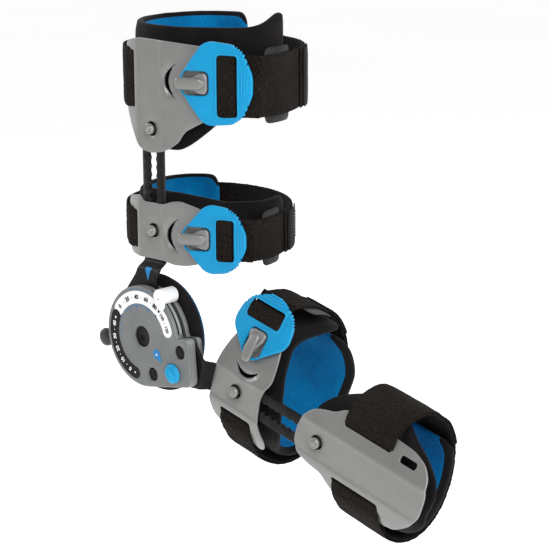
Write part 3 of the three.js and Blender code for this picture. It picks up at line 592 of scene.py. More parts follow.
def wing(side, bends):
    """One side of the section, from the bar outwards: each bend is (length, turn in degrees, steps)."""
    points = []
    x, y, angle = side * 13.0, SHELL_FACE, 0.0
    for length, turn, steps in bends:
        for _ in range(steps):
            angle += math.radians(turn) / steps / 2
            x += side * length * math.cos(angle) / steps
            y += length * math.sin(angle) / steps
            angle += math.radians(turn) / steps / 2
            points.append((x, y))
    return points


PROFILE = np.array([
    *reversed(wing(-1, [(1.4, 0, 1), (3.2, 20, 5), (1.0, 0, 1), (27, 14, 14)])),
    (-13.0, SHELL_FACE), (13.0, SHELL_FACE),
    *wing(1, [(1.4, 0, 1), (3.4, 25, 5), (35.8, 0, 6), (21, 20, 10)])])


def profile_y(x):
    """The shells' outer surface at x, carried straight on past its ends."""
    x = np.asarray(x, float)
    (ax, ay), (bx, by) = PROFILE[0], PROFILE[1]
    (cx, cy), (dx, dy) = PROFILE[-2], PROFILE[-1]
    y = np.interp(x, PROFILE[:, 0], PROFILE[:, 1])
    y = np.where(x < ax, ay + (x - ax) * (by - ay) / (bx - ax), y)
    return np.where(x > dx, dy + (x - dx) * (dy - cy) / (dx - cx), y)


def profile_slope(x, step=0.4):
    return (profile_y(np.asarray(x) + step) - profile_y(np.asarray(x) - step)) / (2 * step)


def on_profile(x, z, depth):
    """Depth is measured inwards from the shell's outer face, square to it."""
    slope = profile_slope(x)
    size = np.hypot(1, slope)
    return np.stack([x - depth * slope / size, profile_y(x) + depth / size, z], 1)


def buckle_plane(along, depth):
    """A place on the clip's sloping plane, as (x, y) of its cuff."""
    c, s = math.cos(BUCKLE_SLOPE), math.sin(BUCKLE_SLOPE)
    return BUCKLE_AT[0] + along * c - depth * s, BUCKLE_AT[1] + along * s + depth * c


def on_buckle_plane(x, z, depth):
    return np.stack([*buckle_plane(x, depth), z], 1)


# ---- bars and hinge ----

def joggled(way, start, end):
    """The warp of a bar that runs up (way 1) or down (-1) and steps back from the hinge to the shells."""
    def warp(x, z, depth):
        t = np.clip((way * z - start) / (end - start), 0, 1)
        return np.stack([x, depth + (BAR_FRONT - PLATE_FRONT) * t * t * (3 - 2 * t), z], 1)
    return warp


def scalloped(first, count, radius=4.7, waist=3.8):
    """The long slot that the buttons lock into, for places that run up from first."""
    reach = math.acos(waist / radius)
    angles = np.linspace(-reach, reach, 7)
    right = [(radius * math.cos(a), first + i * PITCH + radius * math.sin(a))
             for i in range(count) for a in angles]
    left = [(-x, z) for x, z in reversed(right)]
    return np.array(right + left)


def bar_grid(rows, half):
    return [(x, z) for z in rows for x in np.linspace(-half, half, 8)]


def make_thigh_bar():
    flare = spline([(-30.5, 30), (-25.6, 38), (-20.4, 44.5), (-14.6, 52.8), (-12.6, 59), (-12.4, 66)], 1.5)[0]
    top = [(-12.4, 231), (-8, 237.4), (-6.5, 238), (6.5, 238), (8, 237.4), (12.4, 231)]
    foot = [(12.4, 66), (12.3, 60), (12, 54), (10.6, 48), (9, 30)]
    outline = resample([*flare, *top, *foot], 2.5)
    warp = joggled(1, 55.3, 63.2)
    slot = scalloped(THIGH_BUTTONS[1] - PITCH, 21)
    bar = plate("thigh_bar_plate", outline, [slot], PLATE_FRONT, PLATE_BACK, 0.55, [BLACK_BAR], warp, 5,
                extra=bar_grid(np.arange(48, 70, 1.1), 11))
    teeth = [dial(radius, 9 * i + a) for i in range(40)
             for radius, a in ((40.3, -2.9), (41.4, -1.5), (41.4, 1.5), (40.3, 2.9))]
    disc = plate("thigh_bar_teeth", np.array(teeth), [circle(7)], PLATE_FRONT + 0.05, PLATE_BACK - 0.05, 0.25,
                 [BLACK_BAR], grid=12, steps=2)
    cut(disc, capsule_arc(28.8, 36.8, 108, 242), -30, 0)
    done(disc, "thigh_upright", "black_bar")
    done(bar, "thigh_upright", "black_bar", "thigh_bar")
    pointer = rounded([(-3.6, 58), (0.4, 46.8), (4, 58)], 0.8, 1)
    mark = plate("bar_pointer", pointer, [], PLATE_FRONT - 0.25, PLATE_FRONT + 0.1, 0.08, [PRINT_BLUE], warp,
                 1.5, steps=1)
    done(mark, "thigh_upright", "blue_plastic", "flexion_pointer")


def make_calf_bar():
    points = [(12.4, -70), (12.4, -285), (8, -291.4), (6.5, -292), (-6.5, -292), (-8, -291.4), (-12.4, -285),
              (-12.4, -70), (-13.6, -63), (-22, -36), (18, -30), (26, -46), (20, -57), (13.8, -64)]
    hinge = np.array([-CALF_OFFSET, 0])
    disc_radius = 42.8
    outline = resample(points, 2.5)
    away = outline - hinge
    reach = np.hypot(*away.T)[:, None]
    # the bar's head stays clear of the toothed disc
    outline = np.where(reach > disc_radius, outline, hinge + away * disc_radius / reach)
    slot = scalloped(CALF_BUTTONS[0] - 2 * PITCH, 28) * [1, -1]
    bar = plate("calf_bar_plate", outline, [slot], PLATE_FRONT, PLATE_BACK, 0.55, [BLACK_BAR],
                joggled(-1, 65.2, 72.2), 5, extra=bar_grid(-np.arange(58, 80, 1.1), 11), place=CALF)
    done(bar, "calf_upright", "black_bar", "calf_bar")


def cover_outline(shrink=0.0):
    """The hinge covers' edge: a circle with a square lobe over the calf bar."""
    radius = COVER_RADIUS - shrink
    inner = np.array([45.5, 6.5 - shrink])
    top = np.array([56.4 - shrink, 8.2 - shrink])
    bottom = np.array([59.8 - shrink, -32.1 + shrink])
    tangent = 90 - math.degrees(math.atan2(bottom[1], bottom[0]) - math.acos(radius / math.hypot(*bottom)))
    meets = 90 - math.degrees(math.asin(inner[1] / radius))
    arc = dial_arc(radius, meets, tangent - 360, 3)
    def bend(a, at, b, back, steps=7):
        a, b = (at + (v - at) / np.linalg.norm(v - at) * back for v in (a, b))
        return quadratic(a, at, b, steps)
    points = (bend(arc[-1], bottom, top, 6.5) + bend(bottom, top, inner, 5)
              + bend(top, inner, arc[0], 2.4, 4) + list(arc[1:]))
    return resample(points, 2.2)


def lock_slot(half):
    way = -np.array(LOCK) / math.hypot(*LOCK)
    across = np.array([-way[1], way[0]])
    start, end = np.array(LOCK), np.array(LOCK) + LOCK_TRAVEL * way
    angles = np.linspace(-math.pi / 2, math.pi / 2, 9)
    near = [start + half * (-way * math.cos(a) + across * math.sin(a)) for a in angles]
    far = [end + half * (way * math.cos(a) - across * math.sin(a)) for a in angles]
    return resample(near + far, 2)


def make_covers():
    holes = [circle(8.9, n=56), lock_slot(4.3), *(circle(5.6, *at) for at in RIVETS)]
    rim = turn_way(cover_outline(), 1)
    face = plate("cover_face", rim, holes, HINGE_FRONT, HINGE_FRONT + 3.2, 1.55, [COVER], grid=4.5, steps=5)
    wall = plate("cover_wall", rim, [inset(rim, 2.0)], HINGE_FRONT + 1.8, COVER_BACK, 0.3, [COVER], grid=9,
                 steps=2)
    for start, end, lever in ((14, 78, -24.6), (-140, -53, -23.1)):
        cut(wall, sector(39, 48, start, end), lever - 0.5, lever + 1.7)
    done(joined("front_hinge_cover", [face, wall]), "calf_upright", "grey_cover", "front_cover")
    rear = plate("rear_hinge_cover", cover_outline(0.7), [circle(6.9)], *REAR_COVER, 0.9, [COVER], grid=9)
    done(rear, "calf_upright", "grey_cover", "rear_cover")


def make_pivot():
    profile = [(0, -25.1), (2.3, -25.1), (2.9, -25.5), (7.0, -25.9), (8.5, -25.6), (8.8, -25), (6.5, -24.8),
               (6.5, -13.4), (9.2, -13.2), (9.2, -12.2), (0, -12.1)]
    done(lathe("pivot_barrel_head", profile, 0, 0, [BLACK]), "thigh_upright", "black_plastic", "pivot_barrel")
    profile = [(0, -27.0), (1.6, -27.0), (2.2, -26.6), (3.1, -26.9), (4.4, -26.8), (4.9, -26.4), (5.0, -25.8),
               (5.55, -25.4), (5.55, -24.9), (2.8, -24.9), (2.8, -12.9), (4.6, -12.9), (4.6, -12.1), (0, -12)]
    for name, (x, z) in zip(("lower_rivet", "upper_rivet"), RIVETS):
        done(lathe(name + "_head", profile, x, z, [BLACK]), "calf_upright", "black_plastic", name)


def printed(name, loop, colour, body, slot, *nodes, top=HINGE_FRONT - 0.32, thick=0.36):
    piece = plate(name, loop, [], top, top + thick, 0.1, [colour], grid=6, steps=1)
    return done(piece, body, slot, *nodes)


def dial_text(text, size, radius, angle, depth):
    """Numerals that stand upright on the dial at an angle, as a thin mesh."""
    curve = bpy.data.curves.new("numeral", "FONT")
    curve.body = text
    curve.size = size
    curve.align_x, curve.align_y = "CENTER", "CENTER"
    curve.offset = size * 0.035
    curve.extrude = 0.06
    curve.resolution_u = 3
    holder = bpy.data.objects.new("numeral", curve)
    scene.collection.objects.link(holder)
    mesh = bpy.data.meshes.new_from_object(holder)
    bpy.data.objects.remove(holder)
    x, z = dial(radius, angle)
    turn = math.radians(angle)
    verts = []
    for v in mesh.vertices:
        a, b = v.co.x, v.co.y
        verts.append((x + a * math.cos(turn) + b * math.sin(turn), depth - v.co.z,
                      z - a * math.sin(turn) + b * math.cos(turn)))
    faces = [tuple(p.vertices) for p in mesh.polygons]
    bpy.data.meshes.remove(mesh)
    return verts, faces


def marks(name, parts, colour, body, slot):
    verts, faces = [], []
    for v, f in parts:
        base = len(verts)
        verts += v
        faces += [tuple(i + base for i in face) for face in f]
    return done(add_mesh(name, verts, faces, [colour]), body, slot)


def prism(loop, depth, thick=0.1):
    n = len(loop)
    verts = [(a, y, b) for y in (depth, depth + thick) for a, b in loop]
    sides = [(i, (i + 1) % n, n + (i + 1) % n, n + i) for i in range(n)]
    return verts, [tuple(range(n)), tuple(range(2 * n - 1, n - 1, -1)), *sides]


def dot(radius, angle, size, depth):
    return prism(circle(size, *dial(radius, angle), 14), depth)


def tick(r0, r1, angle, width, depth):
    out, side = dial(1, angle), dial(1, angle + 90)
    corners = ((r0, -width), (r1, -width), (r1, width), (r0, width))
    return prism([out * r + side * w for r, w in corners], depth)


def make_dial():
    printed("flexion_arc", capsule_arc(28.5, 39.2, -55, 71.5), WHITE, "calf_upright", "white_plastic",
            "flexion_scale")
    printed("extension_arc", capsule_arc(28.7, 39, -166, -67), BLACK, "calf_upright", "black_plastic",
            "extension_scale", top=HINGE_FRONT - 0.45)
    flexion = (-50.3, -29.6, -8.8, 11.6, 30.8, 49.9, 68.7)
    level = HINGE_FRONT - 0.42
    parts = [dial_text(str(20 * i), 5.2 if i < 5 else 4.2, 33.8, a, level) for i, a in enumerate(flexion)]
    parts += [dot(33.6, (a + b) / 2, 0.42, level) for a, b in zip(flexion, flexion[1:]) if b != 49.9]
    parts += [dot(34.2, 40.5, 1.25, level), tick(27.4, 29.6, 40.5, 0.4, level)]
    marks("flexion_numbers", parts, BLACK, "calf_upright", "black_plastic")
    extension = (-80.3, -99.5, -117.8, -136.3, -154.6)
    level = HINGE_FRONT - 0.55
    parts = [dial_text(str(10 * i), 4.8, 33.8, a, level) for i, a in enumerate(reversed(extension))]
    parts += [dot(33.6, (a + b) / 2, 0.45, level) for a, b in zip(extension, extension[1:])]
    parts += [dot(33.8, -70.5, 1.0, level), dot(33.6, -165.3, 0.8, level)]
    marks("extension_numbers", parts, WHITE, "calf_upright", "white_plastic")
    level = HINGE_FRONT - 0.1
    parts = [tick(39.9, 41.6, a, 0.5, level) for a in (-16, -8.3, 1.5, 11)]
    parts += [dial_text(t, 3.6, 25.6, a, level) for t, a in (("1", -34), ("2", -11.8), ("3", 17.9))]
    parts += [tick(26.5, 28.0, a, 0.4, level) for a in (-46, -40, -28, -22, -17, -5, 1, 7, 12, 24, 29, 34)]
    parts += [tick(26.0, 28.0, a, 0.5, level) for a in (-61, -75, -90)]
    marks("dial_ticks", parts, PRINT_BLUE, "calf_upright", "blue_plastic")


def blob(name, rings, x, z, materials, stretch, turn):
    """A turned form stretched into an oval and turned about its axis, for moulded knobs."""
    piece = lathe(name, rings, 0, 0, materials, n=44, sharp=60)
    c, s = math.cos(turn), math.sin(turn)
    for v in piece.data.vertices:
        a, b = v.co.x * stretch[0], v.co.z * stretch[1]
        v.co.x, v.co.z = a * c + b * s + x * MM, -a * s + b * c + z * MM
    piece.data.update()
    return piece


def make_lock():
    """The drop lock's knob, an oval base and a turned crest, with the lip and the printed drop beside it."""
    top = HINGE_FRONT - 0.4
    base = [(0, top - 4.7), (2.2, top - 4.65), (4.4, top - 4.2), (6.2, top - 3.3), (7.5, top - 2.1),
            (8.2, top - 0.9), (8.3, top - 0.2), (7.9, top), (3.7, top), (3.7, -21), (0, -20.9)]
    crest = [(0, top - 7.4), (2.0, top - 7.3), (4.2, top - 6.8), (5.8, top - 5.8), (6.6, top - 4.4),
             (6.9, top - 2.6), (6.6, top - 1.6), (0, top - 1.5)]
    x, z = LOCK
    away = math.atan2(x, z)
    knob = [blob("base", base, x, z, [BLUE], (0.94, 1.04), away),
            blob("crest", crest, x + 0.8, z - 0.5, [BLUE], (0.56, 1.08), away + 0.5)]
    done(joined("drop_lock_knob", knob), "drop_lock", "blue_plastic", "lock_knob")
    lip = capsule_arc(7.6, 9.2, -128, -38) + [x - 3.4, z + 2.1]
    done(plate("drop_lock_lip", lip, [], HINGE_FRONT - 0.3, HINGE_FRONT + 0.3, 0.2, [COVER], grid=3),
         "calf_upright", "grey_cover")
    tip = np.array([5.6, -6.6])
    drop = np.array([*dial_arc(4.2, 175, 455, 14), tip * 0.72 + [1.0, 0.6], tip, tip * 0.72 - [1.1, 0.5]])
    printed("lock_drop_print", drop + LOCK_DROP, PRINT_BLUE, "calf_upright", "blue_plastic", "lock_mark",
            top=HINGE_FRONT - 0.25, thick=0.3)
    verts, faces = dial_text("o", 4.0, 0, 0, HINGE_FRONT - 0.3)
    ring = [(a + LOCK_DROP[0], y, b + LOCK_DROP[1]) for a, y, b in verts]
    marks("lock_drop_ring", [(ring, faces)], WHITE, "calf_upright", "white_plastic")


def stop_neck(start, end, y, material):
    """The flat neck of a range stop, between the cover's wall and the knob outside it."""
    return plate("neck", sector(41, 45, start, end), [], y, y + 1.0, 0.2, [material], grid=4, steps=1)


def make_flexion_stop():
    """A round peg beside the rim, with a foot that tapers along the dial."""
    profile = [(0, -31.2), (5.9, -31.2), (6.4, -31.0), (6.7, -30.5), (6.7, -15.2), (6.3, -14.4), (5.6, -14.0),
               (0, -14)]
    peg = lathe("flexion_peg", profile, *dial(46.4, 33), [WHITE], n=56)
    cut(peg, circle(COVER_RADIUS + 0.45, n=96), -29.1, 0, 20)
    corners = ((38.6, 29.5), (37.9, 36), (38.9, 45.5), (42.6, 46), (45.8, 43.5), (50, 38), (46, 29))
    foot = rounded([dial(*corner) for corner in corners], 2.6, 1.2)
    tip = plate("flexion_foot", foot, [], -31.02, -29.15, 0.5, [WHITE], grid=3)
    stop = joined("flexion_stop_peg", [peg, tip, stop_neck(29.5, 36.5, -24.5, WHITE)])
    done(stop, "flexion_stop", "white_plastic", "flexion_slider")
    # a grey dot painted on the white peg's face as the shade in its dimple
    marks("flexion_peg_dimple_shade", [dot(45.2, 34, 0.8, -31.3)], COVER, "flexion_stop", "grey_cover")


def make_extension_stop():
    """A domed knob that sticks out of the rim."""
    profile = [(0, -27.6), (3, -27.5), (5.6, -26.9), (7.2, -25.6), (7.8, -23.8), (7.6, -22), (6.8, -21),
               (0, -20.8)]
    dome = lathe("extension_dome", profile, *dial(51, -102), [KNOB])
    cut(dome, circle(COVER_RADIUS + 0.45, n=96), -40, 0, 20)
    stop = joined("extension_stop_knob", [dome, stop_neck(-105.5, -98.5, -23.0, BLACK)])
    done(stop, "extension_stop", "black_plastic", "extension_knob")


def make_knee_pad():
    """The foam disc behind the hinge, puffed, and its brushed blue skin face."""
    rings = [(0.01, -10.2), (12, -10.2), (24, -10.2), (34, -10.2), (41, -10.2), (46, -10.0), (48.8, -9.0),
             (50.4, -7.4), (50.6, -5.6), (49.8, -3.8), (48.2, -2.2), (46.4, -1.5), (38, -1.5), (26, -1.5),
             (13, -1.5), (0.01, -1.5)]
    fine = resample(rings, 3.5, False, round)
    pad = lathe("knee_pad_foam", fine, 0, 0, [LINER_OUT], n=72, sharp=60)
    co = np.array([v.co for v in pad.data.vertices]) / MM
    rim = np.clip((np.hypot(co[:, 0], co[:, 2]) - 41) / 6, 0, 1)
    puff(pad, rim * (co[:, 1] > -9.6), 4.0, 0.7)
    rough_up(pad, 0.12, 3)
    pad.modifiers.new("smooth", "SUBSURF").render_levels = 1
    done(pad, "thigh_upright", "pad_foam", "knee_pad")
    face = [(0.01, -1.0), (20, -1.0), (40, -1.0), (44.5, -1.0), (46.5, -0.9), (47.6, -0.5), (47.3, -0.1),
            (45.8, 0.0), (36, 0.0), (18, 0.0), (0.01, 0.0)]
    skin = lathe("knee_pad_skin", face, 0, 0, [LINER_IN], n=72, sharp=60)
    done(skin, "thigh_upright", "blue_lining", "knee_pad_lining")


# ---- the four cuffs ----

# the thigh shells' bulging edge under the clip, as (x, z from its middle)
EDGE = [(49.7, -30.5), (58, -26), (63, -16), (64, 0), (63, 18), (57, 27)]


def edge_around(z, scale=1.0):
    return [(x, z + dz * scale) for x, dz in EDGE]


# outline and slots are (x, z) on the flat sheet, strap and liner (x, y) round the leg, and rims (share of the
# liner's length, rise of its edge)
CUFFS = [
    dict(name="upper_thigh", place=THIGH, button=THIGH_BUTTONS[0],
         outline=[(-12, 155.5), (0, 153.8), (12.5, 155.8), (20, 158.4), (28.5, 165.1), (32.8, 173.6),
                  *edge_around(214), (46.9, 243.5), (33.4, 245), (16.7, 246.9), (-13.4, 247.6), (-36, 243),
                  (-39, 238), (-39, 186), (-35, 181)],
         slots=[((-30, -19.5), (189.6, 236.6))], strap_z=213, strap_width=49,
         strap=[(-54, 8), (-67, 22), (-77, 43), (-82, 72), (-77, 101), (-60, 124), (-34, 136), (-2, 138),
                (25, 130), (48, 116), (69, 95), (84, 69), (93, 42)],
         end_at=(0.70, 0.82), keeper_at=(0.88, 0.98),
         liner=[(74, 66), (70, 46), (58, 32), (46, 21.5), (24, 8), (2, 3), (-18, 4), (-34, 10), (-48, 20),
                (-60, 34), (-69, 54), (-72, 76), (-67, 98), (-54, 114), (-37, 121), (-22, 121)],
         liner_z=(155, 257), arms=(184, 257), flare=17,
         buckle=dict(z=214.5, reach=44.7, half=34, window=(14, 31.4), window_half=24.6)),
    dict(name="lower_thigh", place=THIGH, button=THIGH_BUTTONS[1],
         outline=[(-13, 64.2), (12.5, 64.6), (16, 64.6), (23, 62.2), (33, 62), (41, 64),
                  *edge_around(87, 0.68)[1:], (45.1, 110.4), (29, 116), (22, 115.6), (14, 112.3),
                  (-10, 112), (-15, 117.2), (-36, 113), (-39, 108), (-39, 70), (-35, 64)],
         slots=[((-30, -19.5), (71.0, 103.2))], strap_z=87, strap_width=34,
         strap=[(-54, 8), (-66, 21), (-76, 41), (-80, 67), (-75, 92), (-59, 111), (-35, 122), (-4, 124),
                (24, 116), (48, 101), (68, 80), (81, 57), (87, 36)],
         end_at=(0.74, 0.86), keeper_at=(0.88, 0.965),
         liner=[(60, 78), (67, 61), (65, 45), (57, 33), (46, 22.5), (24, 8.5), (2, 3), (-18, 4), (-34, 10),
                (-48, 20), (-60, 34), (-68, 52), (-70, 73), (-64, 91), (-52, 100), (-38, 100)],
         liner_z=(61, 120), arms=(64, 114), flare=2,
         buckle=dict(z=87, reach=38.2, half=29, window=(12, 27.6), window_half=17.2)),
    dict(name="upper_calf", place=CALF, button=-CALF_BUTTONS[0],
         outline=[(12.8, -74.9), (24.4, -75.1), (36.6, -77.8), (50, -84), (59, -92), (62, -105), (59, -118),
                  (52, -126), (44.8, -129.2), (34.2, -132), (23.4, -134.2), (16.1, -131.1), (5, -127.5),
                  (-10, -128.5), (-22, -130.5), (-33, -134), (-41.5, -132), (-44, -125.5), (-40, -119.5),
                  (-39, -112), (-39, -84), (-33, -76), (-20, -72.9)],
         slots=[((-30, -19.5), (-120.6, -85.8))], strap_z=-103, strap_width=36,
         strap=[(-54, 8), (-64, 22), (-71, 42), (-68, 64), (-54, 82), (-30, 94), (-4, 98), (26, 93),
                (50, 79), (65.5, 61), (74.5, 45), (77.5, 31)],
         end_at=(0.68, 0.80), keeper_at=(0.85, 0.95), strap_past=-3.0, fold_past=-0.5, keeper_shift=-4,
         liner=[(54, 67), (57, 59), (57.5, 50), (55, 40), (49, 30), (38, 19.5), (22, 9), (2, 3), (-18, 4),
                (-34, 10), (-47, 20), (-57, 34), (-60, 48), (-57, 63), (-46, 75), (-28, 83), (-6, 86.5),
                (16, 85), (31, 79), (42, 70)],
         liner_z=(-140, -76), arms=(-126, -84), flare=0,
         low_rim=[(0, -7), (0.057, -8), (0.09, -5), (0.13, 2), (0.18, 6), (0.24, 7), (0.283, 5), (0.31, 2),
                  (0.375, 0), (0.62, 0), (0.72, -6), (0.88, -14), (0.96, -10), (1, -5)],
         high_rim=[(0, 0), (0.5, 0), (0.62, 16), (0.8, 20), (1, 16)],
         buckle=dict(z=-105, reach=37, half=30, window=(12, 27.6), window_half=18.2)),
    dict(name="lower_calf", place=CALF, button=-CALF_BUTTONS[1],
         outline=[(-8, -169.7), (6, -170.5), (17, -174.5), (24.7, -181), (28, -190.5), (30, -200),
                  (35.3, -207.7), (36.8, -215), (36.8, -258), (35.4, -280), (31, -293), (22.9, -301),
                  (8, -303.4), (-9.3, -301.5), (-20, -295), (-27, -287.4), (-36, -276), (-39, -262),
                  (-39, -214), (-32, -206), (-24, -200.9), (-22, -188.4), (-17.5, -176.2)],
         slots=[((-30, -19.5), (-261.2, -212.8)), ((25.6, 31), (-261.2, -212.8)), ((23.6, 29.2), (-287, -271))],
         strap_z=-237, strap_width=50,
         strap=[(-54, 9), (-63, 24), (-67, 42), (-62, 60), (-46, 73), (-18, 78), (8, 73), (29, 60),
                (44, 43), (51, 26), (49, 10)],
         end_at=(0.60, 0.74), keeper_at=None,
         liner=[(26, 50), (35, 39), (39, 26), (33, 14), (19, 6), (2, 3), (-18, 4), (-34, 10), (-47, 20),
                (-55, 32), (-57, 45), (-51, 57), (-38, 64), (-18, 68), (3, 66), (17, 59)],
         liner_z=(-302, -172), arms=(-270, -205), flare=0, buckle=None,
         low_rim=[(0, 30), (0.06, 30), (0.115, 22), (0.17, 20), (0.205, 11), (0.24, 6), (0.27, 2),
                  (0.31, 0), (0.39, 5), (0.46, 5), (0.53, 6), (0.59, 5), (0.65, 4), (0.7, 4), (0.76, 3),
                  (0.85, 3), (1, 3)]),
]


# the ends of the crescent hole beside the clip
MOON_X = 26.6


def crescent(x, z, half):
    top, bottom = (x, z + half), (x, z - half)
    return np.array(quadratic(top, (x - 19.6, z), bottom)[:-1] + quadratic(bottom, (x - 13.2, z), top)[:-1])


def make_shell(cuff):
    button = cuff["button"]
    holes = [circle(5.9, 0, button, 36)]
    extra = [p for radius in (7.4, 8.6, 9.8, 11.0, 12.2) for p in circle(radius, 0, button, 40)]
    for (x0, x1), (z0, z1) in cuff["slots"]:
        holes.append(rectangle(x0, x1, z0, z1, min(2.7, (x1 - x0) * 0.48), 2.5))
    moon = None
    if cuff["buckle"]:
        moon = crescent(MOON_X, cuff["buckle"]["z"], 14.5)
        holes.append(resample(moon, 1.6))
        for out in (1.3, 2.6, 4.0):
            extra += list(inset(turn_way(moon, -1), out))
    outline = rounded(cuff["outline"], 4.5, 2.2)
    rows = np.linspace(outline[:, 1].min() - 2, outline[:, 1].max() + 2, 60)
    bends = (-20, -18.4, -17.2, -16, -14.8, -13.6, -12.9, -10.5, 10.5, 12.9, 13.6, 14.9, 16.2, 17.5, 18.8,
             20.4)
    extra += [(x, z) for x in bends for z in rows]

    def dished(x, z, depth):
        """The sheet, pressed in round the button and along the outer edge of the crescent."""
        press = 1.15 * np.clip(1 - (np.hypot(x, z - button) - 6.0) / 6.2, 0, 1) ** 1.3
        if moon is not None:
            near = gap_to(np.stack([x, z], 1), resample(moon, 1.0))
            outer = np.clip((MOON_X - x) / 6, 0, 1) * (x < MOON_X - 2.6)
            press = press + 1.9 * np.clip(1 - near / 4.6, 0, 1) ** 1.4 * outer
        channel = 0.35 * np.clip((13.6 - np.abs(x)) / 1.0, 0, 1)
        return on_profile(x, z, depth + press + channel)
    shell = plate(cuff["name"] + "_cuff_shell", outline, holes, 0, SHELL_WALL, 0.6, [GREY], dished, 5.5,
                  extra=extra, place=cuff["place"], sharp=42)
    done(shell, cuff["name"] + "_cuff", "grey_shell", cuff["name"] + "_shell")


def mirrored(side, z):
    """A loop from its upper side, given as (along, half width), about the line at z."""
    return [(x, z + w) for x, w in side] + [(x, z - w) for x, w in reversed(side)]


def make_hook(cuff):
    """The post that the clip's keyhole hooks over: a broad pad with an arched tongue on it."""
    z, place = cuff["buckle"]["z"], cuff["place"]
    post = mirrored([(-11.5, 3.6), (-7.5, 4.6), (-4.2, 6.2), (-1.5, 8.0), (4.0, 8.6), (6.0, 5.6)], z)
    lip = mirrored([(-21.4, 2.6), (-19.4, 4.6), (-14, 5.0), (-8, 4.8), (-3, 4.7), (1.6, 4.0), (4.4, 1.6)], z)

    def arched(s, zz, depth):
        lift = 1.0 * np.sin(np.clip((s + 21.5) / 26, 0, 1) * math.pi) * (1 - ((zz - z) / 7) ** 2)
        sink = 1.6 * np.clip((s + 1.5) / 6, 0, 1) ** 2 + 0.8 * np.clip((-15 - s) / 6.5, 0, 1) ** 2
        return on_buckle_plane(s, zz, depth - lift + sink)
    pad = plate("pad", rounded(post, 3.0, 1.2), [], -1.6, 6.4, 1.5, [GREY], on_buckle_plane, 3, place=place,
                steps=4)
    tongue = plate("tongue", rounded(lip, 2.4, 1.0), [], -3.7, -0.5, 1.55, [GREY], arched, 1.8, place=place,
                   steps=5)
    done(joined(cuff["name"] + "_clip_hook", [pad, tongue]), cuff["name"] + "_cuff", "grey_shell")


def buckle_outline(b):
    """The clip's edge, with six finger grooves on each of its far corners."""
    h, reach = b["half"], b["reach"]
    upper = [(-19, 4.5), (0.6, h * 0.92), (7.5, h), (reach - 17, h * 0.94), (reach - 8, h * 0.75),
             (reach - 0.6, h * 0.22)]
    out = []
    for x, y in resample(rounded(mirrored(upper, 0), 4.2, 1.2, 6), 0.9):
        t = (x - (reach - 15.5)) / 12.5
        if 0 < t < 1 and abs(y) > h * 0.5:
            bite = 1.25 * max(0.0, math.sin(t * 6 * 2 * math.pi)) ** 0.7
            x, y = x - bite * 0.6, y - math.copysign(bite * 0.8, y)
        out.append((x, y))
    return np.array(out)


def make_buckle(cuff):
    b, name = cuff["buckle"], cuff["name"]
    z, middle, (x0, x1), half = b["z"], cuff["strap_z"], b["window"], b["window_half"]

    def crowned(s, zz, depth):
        """The plate's edges fall away from its face, and its point slips under the hook's tongue."""
        bow = 0.9 * ((zz - z) / b["half"]) ** 2 + 0.5 * np.clip((s - b["reach"] + 9) / 9, 0, 1) ** 2
        tip = 1.0 * np.clip((-9 - s) / 5, 0, 1)
        return on_buckle_plane(s, zz, depth + bow + tip * (depth < 1.6) - 0.3)

    def part(outline, holes, front, back, edge, grid, steps):
        return plate("part", outline, holes, front, back, edge, [BLUE], crowned, grid, place=cuff["place"],
                     steps=steps)
    keyhole = rectangle(-15.9, 6.9, z - 9.8, z + 9.8, 5.5, 1.8)
    window = rectangle(x0, x1, middle - half, middle + half, 3.2)
    frame_edge = rectangle(x0 - 1.8, x1 + 1.8, middle - half - 1.8, middle + half + 1.8, 4.6)
    pieces = [part(buckle_outline(b) + [0, z], [keyhole, window], 0, 3.2, 1.15, 3.2, 4),
              part(frame_edge, [window], -0.55, 1.2, 0.5, 4, 3)]
    for i in range(3):
        at, length = x1 + 4.0 + i * 2.3, 10.5 - 2.2 * i
        rib = rectangle(at - 0.65, at + 0.65, z - length, z + length, 0.6)
        pieces.append(part(rib, [], -0.6, 0.8, 0.45, 3, 2))
    done(joined(name + "_clip_plate", pieces), name + "_clip", "blue_plastic", name + "_buckle")


def make_button(cuff):
    name = cuff["name"]
    cap = [(0, -2.9), (1.5, -2.9), (2.0, -2.75), (2.3, -2.3), (2.5, -2.2), (3.6, -2.3), (4.2, -2.0),
           (4.55, -1.4), (4.6, 0.3), (3.3, 0.4)]
    profile = [(r, SHELL_FACE + y) for r, y in cap] + [(3.3, BAR_BACK + 2.1), (0, BAR_BACK + 2.1)]
    piece = lathe(name + "_push_button_cap", profile, 0, cuff["button"], [STEEL], cuff["place"], 44, 32)
    done(piece, name + "_push_button", "steel", name + "_button")


def main_path(cuff):
    """The strap's middle line, from the slot round the leg to the clip or to the shell's other edge."""
    start = (-45.5, float(profile_y(-45.5)) + 0.6)
    end = (44.5, float(profile_y(44.5)) + 0.6)
    if cuff["buckle"]:
        end = buckle_plane(cuff["buckle"]["reach"] + cuff.get("strap_past", 3.8), 5.45)
    return spline([start, *cuff["strap"], end], 1.0)[0]


def slot_turn(side, bar):
    """The strap's way through a slot, from in front of its outer bar to behind it."""
    at = bar - (8.0 if side < 0 else 4.4)
    middle = float(profile_y(side * bar)) + SHELL_WALL / 2
    reach = (42.5, 40.0, 36.5, 33.0)
    front = [(side * x, float(profile_y(side * x)) - 1.45) for x in reach]
    turn = [(side * (at + 1.6 - 2.4 * math.sin(a)), middle - 2.35 * math.cos(a))
            for a in np.linspace(0, math.pi, 9)]
    back = [(side * x, float(profile_y(side * x)) + SHELL_WALL + 1.45) for x in reversed(reach)]
    return [*front, *turn, *back]


